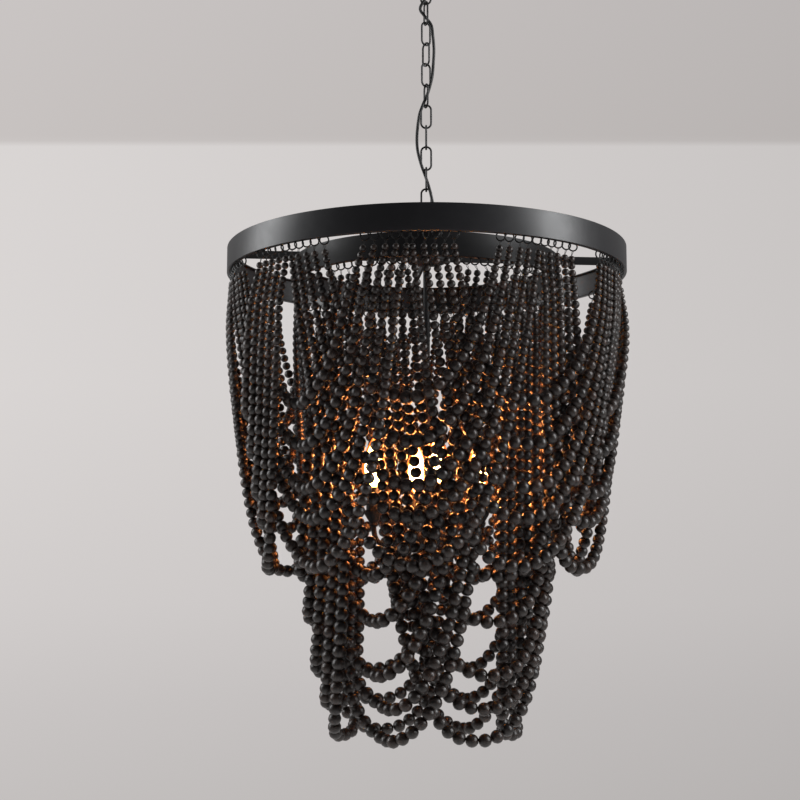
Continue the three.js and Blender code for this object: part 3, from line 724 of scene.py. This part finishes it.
grommet = lathe(softened(raised(GROMMET, HUB_TOP), 0.5), 48, centre=(GROMMET_X, 0))
dress("hub_loop_form", hub_loop(), frame_paint, CHANDELIER, ["hub_loop"])
dress("spoked_hub_form", spoked_hub(), frame_paint, CHANDELIER, ["spoked_hub"], 35)
dress("hub_cover_form", hub_cover(), frame_paint, CHANDELIER, ["hub_cover"])
dress("grommet_form", grommet, grommet_rubber, CHANDELIER, ["cable_grommet"])
dress("terminal_block_form", terminal_block(), black_plastic, CHANDELIER, ["hub_terminal_block"])

# Rod, lamp wires and lamp hub
LAMP_TOP = HOOP_TOP - 422
ROD_TOP = HUB_TOP - 2.3
ROD_BOTTOM = LAMP_TOP - 5.7
ROD_RADIUS = 5.0
ROD_BORE = 3.5
WIRE_COUNT = 3
WIRE_RADIUS = 1.2
WIRE_TWIST_RADIUS = 1.45
WIRE_TWIST_PITCH = 60
WIRE_STEPS = 149
LAMP_HUB_RADIUS = 18
LAMP_HUB_HEIGHT = 24
LAMP_HUB = [(0, -6), (5.3, -6), (5.3, 0), (9, 0), (18, -6), (18, -18), (9, -24), (3, -24)]
FINIAL_RADIUS = 8
FINIAL_STEM_RADIUS = 3
FINIAL_STEM_LENGTH = 4
FINIAL_STEPS = 16


def lamp_wires():
    """Wires twisted round one another inside the rod"""
    wires = []
    for i in range(WIRE_COUNT):
        points = []
        for k in range(WIRE_STEPS + 1):
            z = ROD_BOTTOM + 1 + (ROD_TOP - 3 - ROD_BOTTOM) * k / WIRE_STEPS
            a = 2 * math.pi * (i / WIRE_COUNT + (z - ROD_BOTTOM) / WIRE_TWIST_PITCH)
            points.append((WIRE_TWIST_RADIUS * math.cos(a), WIRE_TWIST_RADIUS * math.sin(a), z))
        wires.append(tube(points, WIRE_RADIUS, 8))
    return merged(*wires)


def lamp_hub():
    """The turned body with a ball finial under it"""
    ball = LAMP_TOP - LAMP_HUB_HEIGHT - FINIAL_STEM_LENGTH - FINIAL_RADIUS
    start = math.asin(FINIAL_STEM_RADIUS / FINIAL_RADIUS)
    finial = [(FINIAL_STEM_RADIUS, ball + FINIAL_RADIUS * math.cos(start) + 0.6)]
    for k in range(FINIAL_STEPS):
        a = start + k / FINIAL_STEPS * (math.pi - start)
        finial.append((FINIAL_RADIUS * math.sin(a), ball + FINIAL_RADIUS * math.cos(a)))
    finial.append((0, ball - FINIAL_RADIUS))
    return lathe(softened(raised(LAMP_HUB, LAMP_TOP), 1.6, closed=False, steps=4) + finial, 64)


rod = softened([(ROD_BORE, ROD_BOTTOM), (ROD_RADIUS, ROD_BOTTOM), (ROD_RADIUS, ROD_TOP), (ROD_BORE, ROD_TOP)],
               0.4)
dress("rod_form", lathe(rod, 40), frame_paint, CHANDELIER, ["centre_rod"])
dress("lamp_wires_form", lamp_wires(), wire_sheath, CHANDELIER, ["lamp_wires"])
dress("lamp_hub_form", lamp_hub(), frame_paint, CHANDELIER, ["lamp_hub"], 35)

# Lamps, with outlines as (radius, rise) from the cup's foot, the sleeve's bottom or the bulb's cap
LAMP_COUNT = 4
LAMP_DEGREES = 10
LAMP_CIRCLE = 80
ARM_RADIUS = 4.0
ARM_START = 16.5
ARM_DIP = 26
ARM_STEPS = 32
CUP_FOOT = HOOP_TOP - 415
CUP_FOOT_DEPTH = 3
CUP = [(0, 0), (6, 0), (6.6, 3), (5.6, 5), (8.6, 10), (13.4, 18), (15, 22.6), (15, 24), (11.3, 24),
       (11.3, 19), (0, 19)]
SLEEVE_BOTTOM = CUP_FOOT + 24 - 5 + SEAT_GAP
SLEEVE = [(9.5, 0), (11, 0), (11, 38), (9.5, 38)]
HOLDER = [(0, 0), (9.2, 0), (9.2, 34), (7.3, 34), (7.3, 6), (0, 6)]
CAP_BOTTOM = SLEEVE_BOTTOM + 6.3
CAP_TIP = [(0, 0), (2.6, 0), (3.2, 0.8), (6.2, 3.2)]
CAP_ROOT = (6.3, 4)
CAP_CREST = (6.95, 5.2)
CAP_PITCH = 2.4
CAP_RIDGES = 9
GLASS_BOTTOM = CAP_BOTTOM + 28.5
GLASS_FOOT = 6.9
GLASS_NECK = (7.4, 1.2)
BULB_RADIUS = 17.5
BULB_LENGTH = 79
# Shares of the bulb's radius and length
BULB_SHARES = [(0.5, 0.08), (0.8, 0.2), (1, 0.38), (0.94, 0.54), (0.7, 0.72), (0.36, 0.88), (0.12, 0.97)]


def lamp_arm(degrees):
    """An arm that leaves the lamp hub level, dips and turns up into its drip cup"""
    height = LAMP_TOP - LAMP_HUB_HEIGHT / 2
    halfway = (LAMP_HUB_RADIUS + LAMP_CIRCLE) / 2
    path = bezier(polar(ARM_START, degrees, height), polar(halfway, degrees, height),
                  polar(LAMP_CIRCLE, degrees, height - ARM_DIP),
                  polar(LAMP_CIRCLE, degrees, CUP_FOOT + CUP_FOOT_DEPTH), ARM_STEPS)
    x, y, _ = polar(LAMP_CIRCLE, degrees, 0)
    return merged(tube(path, ARM_RADIUS, 20), lathe(softened(raised(CUP, CUP_FOOT), 1.0), 48, centre=(x, y)))


def bulb_profile():
    """A ridged screw cap, then the glass up to its tip"""
    cap = raised(CAP_TIP, CAP_BOTTOM)
    for k in range(CAP_RIDGES):
        for radius, rise in (CAP_ROOT, CAP_CREST):
            cap.append((radius, CAP_BOTTOM + rise + CAP_PITCH * k))
    cap += [(7.0, GLASS_BOTTOM - 1.0), (GLASS_FOOT, GLASS_BOTTOM)]
    widths = [(a * BULB_RADIUS, b * BULB_LENGTH) for a, b in BULB_SHARES]
    knots = [(GLASS_FOOT, 0.0), GLASS_NECK] + widths + [(0, BULB_LENGTH)]
    smooth = smooth_route([(a, b, 0) for a, b in knots], 5)[:, :2]
    glass = [(max(a, 0.0), GLASS_BOTTOM + b) for a, b in smooth]
    glass[-1] = (0, GLASS_BOTTOM + BULB_LENGTH)
    return cap + glass


def bulb(number, x, y):
    part = lathe(bulb_profile(), 48, centre=(x, y), closed=False)
    piece = dress(f"bulb_form_{number}", part, bulb_glass, f"bulb_{number}", [f"bulb_{number}"],
                  60)
    piece.data.materials.append(brass)
    along = piece.data.attributes.new("along", "FLOAT", "POINT")
    share = [(v.co.z / MM - GLASS_BOTTOM) / BULB_LENGTH for v in piece.data.vertices]
    along.data.foreach_set("value", np.clip(share, 0, 1))
    for face in piece.data.polygons:
        if face.center.z / MM < GLASS_BOTTOM:
            face.material_index = 1


sleeve = softened(raised(SLEEVE, SLEEVE_BOTTOM), 0.6)
holder = softened(raised(HOLDER, SLEEVE_BOTTOM), 0.5)
for i in range(LAMP_COUNT):
    degrees = LAMP_DEGREES + 90 * i
    x, y, _ = polar(LAMP_CIRCLE, degrees, 0)
    n = i + 1
    dress(f"lamp_arm_form_{n}", lamp_arm(degrees), frame_paint, CHANDELIER, [f"lamp_arm_and_cup_{n}"])
    dress(f"sleeve_form_{n}", lathe(sleeve, 48, centre=(x, y)), sleeve_paint, CHANDELIER,
          [f"candle_sleeve_{n}"])
    dress(f"holder_form_{n}", lathe(holder, 40, centre=(x, y)), black_plastic, CHANDELIER,
          [f"lamp_holder_{n}"])
    bulb(n, x, y)


# Sets of strings: sizes in millimetres, hole and first in degrees, and drops from the hoop's top
SWAGS = {
    "outer": {
        "hoop": OUTER, "groups": 10, "hole": 2.65, "first": -5.3, "drops": [256, 314, 372, 413, 478],
        "shift": 6.6, "step": 1.6, "bow": -12.0, "square": 0.0, "largest": 19.2, "growth": 0.95, "sway": 1.8,
        "name": "outer_swag_%02d",
    },
    "inner": {
        "hoop": INNER, "groups": 6, "hole": 4.0, "first": -26.0, "drops": [475, 538, 612, 658, 702],
        "shift": 12.2, "step": 2.5, "bow": 20.0, "square": 0.14, "largest": 19.4, "growth": 0.72, "sway": 2.4,
        "name": "inner_swag_%d",
    },
}
HOLES = 10
STRINGS = 5
RING_RADIUS = 6.0
RING_WIRE = 1.05
RING_INSET = 7.8
RING_POINTS = 32
RING_SKEW = (48, 68)
HOLE_INSET = 5.6
HOLE_SIDE = 4.2
HOLE_RADIUS = 1.3
HOOP_SEGMENTS = 240
HOOP_CORNER = 0.8


def ring_turn(degrees):
    """The way the rings at this place on a hoop lie round, so that a group lies one way"""
    return 1 if math.sin(2 * math.radians(degrees)) >= 0 else -1


def hole_angles(swag):
    pitch = 360 / swag["groups"]
    middle = (HOLES - 1) / 2
    return [swag["first"] + g * pitch + (h - middle) * swag["hole"]
            for g in range(swag["groups"]) for h in range(HOLES)]


def hoop_piece(name, cad_name, swag, paint):
    """A band with a lip turned in at both edges, its lower lip drilled for every ring"""
    hoop = swag["hoop"]
    r, top, bottom = hoop["radius"], hoop["top"], hoop["top"] - hoop["height"]
    inside, lip = r - SHEET, r - LIP
    profile = softened([
        (r, top), (lip, top), (lip, top - SHEET), (inside, top - SHEET), (inside, bottom + SHEET),
        (lip, bottom + SHEET), (lip, bottom), (r, bottom)], HOOP_CORNER)
    piece = place_mesh(name, *lathe(profile, HOOP_SEGMENTS), paint, 30)
    drills = []
    for degrees in hole_angles(swag):
        hole = polar(r - HOLE_INSET, degrees, bottom) + polar(HOLE_SIDE * ring_turn(degrees), degrees + 90, 0)
        drills.append(tube([hole - (0, 0, 1), hole + (0, 0, SHEET + 1)], HOLE_RADIUS, 10))
    tool = place_mesh(name + "_drills", *merged(*drills), paint)
    cut = piece.modifiers.new("holes", "BOOLEAN")
    cut.operation, cut.object, cut.solver = "DIFFERENCE", tool, "EXACT"
    cut.use_self = True
    bpy.context.view_layer.update()
    graph = bpy.context.evaluated_depsgraph_get()
    finished = bpy.data.meshes.new_from_object(piece.evaluated_get(graph))
    piece.modifiers.clear()
    piece.data = finished
    finished.materials.clear()
    finished.materials.append(paint)
    finished.shade_smooth()
    finished.set_sharp_from_angle(angle=math.radians(32))
    bpy.data.objects.remove(tool)
    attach(piece, CHANDELIER)
    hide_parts(cad_name)


hoop_piece("outer_hoop_form", "outer_hoop", SWAGS["outer"], hoop_paint)
hoop_piece("inner_hoop_form", "inner_hoop", SWAGS["inner"], shaded_inner_paint)

# Strings of beads
STRING_SEAT = 1.0
STRING_DROP = 14.5
STRING_POINTS = 401
INSET_RUN = 45
WAVE = 1.5
WAVE_TURN = 9
SLIP = 1.1
MOST_SLIP = 2
CORD_RADIUS = 0.5
CORD_STRIDE = 5
BEAD_SEGMENTS = 12
BEAD_ROWS = 6
BEAD_HOLE = 0.16
BEAD_END = 0.90
BEAD_FLATNESS = 0.985
FIRST_ROW_DEGREES = 22
END_BEAD = 9.8
BEAD_LENGTH = 0.935
BEAD_UNEVENNESS = 0.012
GRAIN_SPREAD = 400
dice = np.random.default_rng(17)


def half_span(swag, i):
    """Degrees round the hoop from the middle of a set to the ends of its string i"""
    return 360 / swag["groups"] - (STRINGS - i - 0.5) * swag["hole"]


def catenary_ratio(drop, half):
    """How sharply a hanging string curves: the u with (cosh u - 1) / u = drop / half"""
    low, high = 0.01, 20.0
    for _ in range(60):
        mid = (low + high) / 2
        if (math.cosh(mid) - 1) / mid < drop / half:
            low = mid
        else:
            high = mid
    return (low + high) / 2


def strand_path(swag, centre_degrees, i, slips):
    """The centreline of one string between its jump rings, left to right, with a little sway"""
    hoop = swag["hoop"]
    half_angle = math.radians(half_span(swag, i))
    radius = hoop["radius"] - SHEET / 2
    top = hoop["top"] - hoop["height"] - STRING_SEAT
    bottom = hoop["top"] - swag["drops"][i]
    half, chord = radius * math.sin(half_angle), radius * math.cos(half_angle)
    ratio = catenary_ratio(top - bottom, half)
    scale = half / ratio
    end = scale * math.asinh(math.sinh(ratio) - STRING_DROP / scale)
    left = swag["shift"] + swag["step"] * i
    right = swag["shift"] + swag["step"] * (STRINGS - 1 - i)
    s = np.linspace(-math.sinh(end / scale), math.sinh(end / scale), STRING_POINTS)
    along = scale * np.arcsinh(s)
    share = np.abs(along) / half
    shift = np.where(along > 0, right, -left) * (1 - (2 * share - 1) ** 4)
    hang = scale * (np.cosh(along / scale) - 1)
    height = bottom + hang + swag["square"] * ((top - bottom) * share ** 5 - hang)
    out, side = polar(1, centre_degrees, 0), polar(1, centre_degrees + 90, 0)
    run = scale * (math.sinh(end / scale) - np.abs(s))
    inset = (RING_INSET - SHEET / 2) * np.exp(-(run / INSET_RUN) ** 2)
    depth = chord + shift + swag["bow"] * (1 - share ** 2) - inset
    sideways, outwards = dice.normal(0, swag["sway"], 2)
    depth = depth + 0.5 * outwards * np.sin(math.pi * share) ** 2
    slip = np.where(along > 0, slips[1], slips[0]) * share ** 2
    wave = WAVE * np.sin(dice.uniform(0, 2 * math.pi) + WAVE_TURN * share) * (4 * share * (1 - share))
    points = depth[:, None] * out + (along + sideways * (1 - share ** 2) + slip + wave)[:, None] * side
    points[:, 2] = height
    return points


def unit_bead():
    """A round bead along X with a drilled hole, its ends slightly flattened; verts and quads"""
    profile = [(BEAD_END, BEAD_HOLE)]
    for k in range(BEAD_ROWS + 1):
        a = math.radians(FIRST_ROW_DEGREES + (180 - 2 * FIRST_ROW_DEGREES) * k / BEAD_ROWS)
        profile.append((math.cos(a) * BEAD_FLATNESS, math.sin(a)))
    profile.append((-BEAD_END, BEAD_HOLE))
    verts, faces = [], []
    for x, r in profile:
        for k in range(BEAD_SEGMENTS):
            a = 2 * math.pi * k / BEAD_SEGMENTS
            verts.append((x, r * math.cos(a), r * math.sin(a)))
    for i in range(len(profile) - 1):
        for k in range(BEAD_SEGMENTS):
            n = (k + 1) % BEAD_SEGMENTS
            a, b = i * BEAD_SEGMENTS, (i + 1) * BEAD_SEGMENTS
            faces.append((a + k, b + k, b + n, a + n))
    return np.array(verts), np.array(faces)


bead_verts, bead_faces = unit_bead()


def beads_on(path, largest, growth):
    """Centres, directions and radii of touching beads along a path, largest in the middle"""
    run = run_along(path)
    middle = run[-1] / 2

    def diameter(s):
        return END_BEAD + (largest - END_BEAD) * min((1 - abs(s) / middle) / growth, 1)

    pace = BEAD_LENGTH * dice.uniform(0.985, 1.02)
    last = middle - END_BEAD * 0.5
    places = [-last]
    while True:
        s = places[-1]
        step = diameter(s)
        for _ in range(4):
            step = (diameter(s) + diameter(s + step)) / 2 * pace
        if s + step > last + END_BEAD * 0.3:
            break
        places.append(s + step)
    stations = (np.array(places) + last) * (2 * last / (places[-1] + last)) - last
    diameters = np.array([diameter(s) for s in stations])
    at = middle + stations
    centres = points_at(path, run, at)
    ahead = points_at(path, run, at + 2) - points_at(path, run, at - 2)
    ahead /= np.linalg.norm(ahead, axis=1)[:, None]
    return centres, ahead, diameters / 2


def bead_mesh(name, strings):
    """All the beads of a set as one mesh, each with its own spin, unevenness, grain and tone"""
    centres, ahead, radii = (np.concatenate(columns) for columns in zip(*strings))
    count, per = len(centres), len(bead_verts)
    reference = np.where(np.abs(ahead[:, 2:3]) < 0.9, np.array([[0, 0, 1.0]]), np.array([[1.0, 0, 0]]))
    side = np.cross(ahead, reference)
    side /= np.linalg.norm(side, axis=1)[:, None]
    up = np.cross(ahead, side)
    spin = dice.uniform(0, 2 * math.pi, count)
    c, s = np.cos(spin)[:, None], np.sin(spin)[:, None]
    side, up = side * c + up * s, up * c - side * s
    uneven = 1 + dice.normal(0, BEAD_UNEVENNESS, (count, 3))
    r = radii[:, None] * uneven
    r[:, 0] = radii * BEAD_FLATNESS
    verts = (centres[:, None]
             + bead_verts[None, :, 0:1] * (r[:, None, 0:1] * ahead[:, None])
             + bead_verts[None, :, 1:2] * (r[:, None, 1:2] * side[:, None])
             + bead_verts[None, :, 2:3] * (r[:, None, 2:3] * up[:, None])).reshape(-1, 3)
    places = dice.uniform(-GRAIN_SPREAD, GRAIN_SPREAD, (count, 1, 3))
    grain = (bead_verts[None] * radii[:, None, None] + places).reshape(-1, 3)
    tone = np.repeat(np.clip(dice.normal(0.42, 0.2, count), 0, 1), per)
    faces = (bead_faces[None] + (np.arange(count) * per)[:, None, None]).reshape(-1, 4)
    mesh = bpy.data.meshes.new(name)
    mesh.vertices.add(len(verts))
    mesh.vertices.foreach_set("co", (verts * MM).astype(np.float32).ravel())
    mesh.loops.add(faces.size)
    mesh.loops.foreach_set("vertex_index", faces.astype(np.int32).ravel())
    mesh.polygons.add(len(faces))
    mesh.polygons.foreach_set("loop_start", np.arange(0, faces.size, 4, dtype=np.int32))
    mesh.update(calc_edges=True)
    grain_data = mesh.attributes.new("grain", "FLOAT_VECTOR", "POINT").data
    grain_data.foreach_set("vector", grain.astype(np.float32).ravel())
    mesh.attributes.new("tone", "FLOAT", "POINT").data.foreach_set("value", tone.astype(np.float32))
    mesh.shade_smooth()
    mesh.materials.append(wood)
    return add_to_scene(name, mesh)


def jump_ring(hoop, degrees, skew):
    """A wire ring through a hoop's lower lip, turned askew, and its lowest point"""
    bottom = hoop["top"] - hoop["height"]
    centre = polar(hoop["radius"] - RING_INSET, degrees, bottom + SHEET + RING_WIRE - RING_RADIUS)
    out, side = polar(1, degrees, 0), polar(1, degrees + 90, 0)
    across = out * math.cos(skew) + side * math.sin(skew)
    points = []
    for k in range(RING_POINTS):
        a = 2 * math.pi * k / RING_POINTS
        points.append(centre + RING_RADIUS * (math.cos(a) * across + math.sin(a) * np.array([0, 0, 1.0])))
    return tube(points, RING_WIRE, 8, closed=True), centre - np.array([0, 0, RING_RADIUS])


def cord_loop(ring_bottom, bead_end, direction):
    """The cord's end: up from the bead, over the ring's wire and back"""
    rise = ring_bottom - bead_end
    reach = np.linalg.norm(rise)
    up = rise / reach
    wide = direction - up * np.dot(direction, up)
    wide /= np.linalg.norm(wide)
    points = []
    for k in range(21):
        a = -math.pi / 2 + 2 * math.pi * k / 20
        high = 0.5 + 0.5 * math.sin(a)
        spread = math.cos(a) * (0.35 + 0.65 * high)
        points.append(bead_end + up * (high * (reach + 1.3) - 0.6) + wide * (1.5 * spread))
    return tube(points, 0.42, 6)


def swag_set(swag, centre_degrees):
    """The strings of one set with their jump rings and cords"""
    strings, wirework, cords = [], [], []
    for i in range(STRINGS):
        slips = np.clip(dice.normal(0, SLIP, 2), -MOST_SLIP, MOST_SLIP)
        path = strand_path(swag, centre_degrees, i, slips)
        strings.append(beads_on(path, swag["largest"], swag["growth"]))
        cords.append(tube(path[::CORD_STRIDE], CORD_RADIUS, 6))
        for side, end, slip in ((-1, path[0], slips[0]), (1, path[-1], slips[1])):
            degrees = centre_degrees + side * half_span(swag, i) + math.degrees(slip / swag["hoop"]["radius"])
            skew = math.radians(dice.uniform(*RING_SKEW)) * ring_turn(degrees)
            wire, hang = jump_ring(swag["hoop"], degrees, skew)
            wirework.append(wire)
            cords.append(cord_loop(hang, end, polar(1, degrees + 90, 0)))
    return strings, wirework, cords


for swag in SWAGS.values():
    for g in range(swag["groups"]):
        centre_degrees = swag["first"] + g * (360 / swag["groups"])
        strings, wirework, cords = swag_set(swag, centre_degrees)
        name = swag["name"] % (g + 1)
        beads = bead_mesh(name + "_beads", strings)
        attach(beads, CHANDELIER)
        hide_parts(name)
        for part, shapes, material, slot in (("_rings", wirework, wire_paint, "black_steel"),
                                             ("_threads", cords, thread, "black_rubber")):
            piece = place_mesh(name + part, *merged(*shapes), material)
            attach(piece, CHANDELIER)


# Stage: floor in metres, a room drawn in the world, and two softboxes
FLOOR_HALF = 9.5
FLOOR_HEIGHT = -2.6
WALL = (0.694, 0.665, 0.656)
# Shades against the slope of the view plus one half, from the floor up the wall to the ceiling; the wall's
# darkening towards the floor is painted shade
ROOM_SHADES = [
    (0.30, (0.500, 0.478, 0.470)), (0.377, (0.552, 0.528, 0.520)), (0.436, (0.584, 0.558, 0.552)),
    (0.50, (0.638, 0.610, 0.603)), (0.565, (0.665, 0.636, 0.628)), (0.64, WALL), (0.8037, WALL),
    (0.8048, (0.570, 0.538, 0.527)), (1.0, (0.60, 0.570, 0.565)),
]
REFLECTED_SHADES = [(0.0, (0.06, 0.06, 0.065)), (0.15, (0.08, 0.078, 0.078)), (0.6, (0.26, 0.252, 0.25))]
SKY_SHADES = [(0.0, (0.13, 0.13, 0.14)), (0.35, (0.22, 0.22, 0.23)), (1.0, (0.84, 0.84, 0.84))]
WALL_SIDE = 0.26
WINDOW_COLOUR = (0.98, 0.99, 1.0)
LAMP_MIDDLE = (0, 0, -0.75)


def pale_floor():
    material, tree, shader = new_material("pale_floor")
    patches = noise(tree, coordinates(tree), scale=1.3, detail=3)
    colour = ramp(tree, patches, [(0.3, (0.80, 0.775, 0.76)), (0.7, (0.83, 0.805, 0.79))])
    feed(tree, shader, {"Base Color": colour, "Roughness": 0.9})
    return material


def background(tree, colour):
    return node(tree, "ShaderNodeBackground", {"Color": colour, "Strength": 1.0}).outputs[0]


def studio_world():
    """Pale wall and ceiling for the camera, a dim room for reflections and a soft sky for the light"""
    world = bpy.data.worlds.new("studio")
    scene.world = world
    world.use_nodes = True
    tree = world.node_tree
    tree.nodes.clear()
    rays = node(tree, "ShaderNodeLightPath", {}).outputs
    direction = node(tree, "ShaderNodeTexCoord", {}).outputs["Generated"]
    x, y, z = node(tree, "ShaderNodeSeparateXYZ", {0: direction}).outputs
    depth = maths(tree, "ABSOLUTE", y)
    slope = maths(tree, "DIVIDE", z, maths(tree, "MAXIMUM", depth, maths(tree, "ABSOLUTE", x)))
    across = maths(tree, "DIVIDE", x, depth)
    wall = ramp(tree, maths(tree, "ADD", slope, 0.5), ROOM_SHADES)
    # Painted shade: the wall seen by the camera is drawn up to 15 % darker towards the right
    painted_side_shade = remap(tree, across, 1.0, 0.85, -WALL_SIDE, WALL_SIDE)
    seen = node(tree, "ShaderNodeVectorMath", {0: wall, "Scale": painted_side_shade}, operation="SCALE").outputs[0]
    room = mix_colours(tree, rays["Is Glossy Ray"], seen, ramp(tree, y, REFLECTED_SHADES))
    direct = maths(tree, "MAXIMUM", rays["Is Camera Ray"], rays["Is Glossy Ray"])
    direct = maths(tree, "MAXIMUM", direct, rays["Is Transmission Ray"])
    sky = background(tree, ramp(tree, z, SKY_SHADES))
    mix = node(tree, "ShaderNodeMixShader", {0: direct, 1: sky, 2: background(tree, room)})
    node(tree, "ShaderNodeOutputWorld", {"Surface": mix.outputs[0]})


def softbox(name, place, width, height, power):
    data = bpy.data.lights.new(name, "AREA")
    data.shape = "RECTANGLE"
    data.size, data.size_y = width, height
    data.energy = power
    data.color = WINDOW_COLOUR
    lamp = add_to_scene(name, data)
    lamp.location = place
    lamp.rotation_euler = (Vector(LAMP_MIDDLE) - Vector(place)).to_track_quat("-Z", "Y").to_euler()


floor_mesh = bpy.data.meshes.new("floor")
floor_corners = [(-1, -1), (1, -1), (1, 1), (-1, 1)]
floor_mesh.from_pydata([(x * FLOOR_HALF, y * FLOOR_HALF, FLOOR_HEIGHT) for x, y in floor_corners], [],
                       [(0, 1, 2, 3)])
floor = add_to_scene("floor", floor_mesh)
floor_mesh.materials.append(pale_floor())
studio_world()
softbox("window_left", (-2.68, 0.30, 0.1), 1.0, 2.2, 60)
softbox("window_right", (2.5, -0.84, 0.1), 0.8, 2.1, 80)
scene.view_settings.view_transform = "Standard"
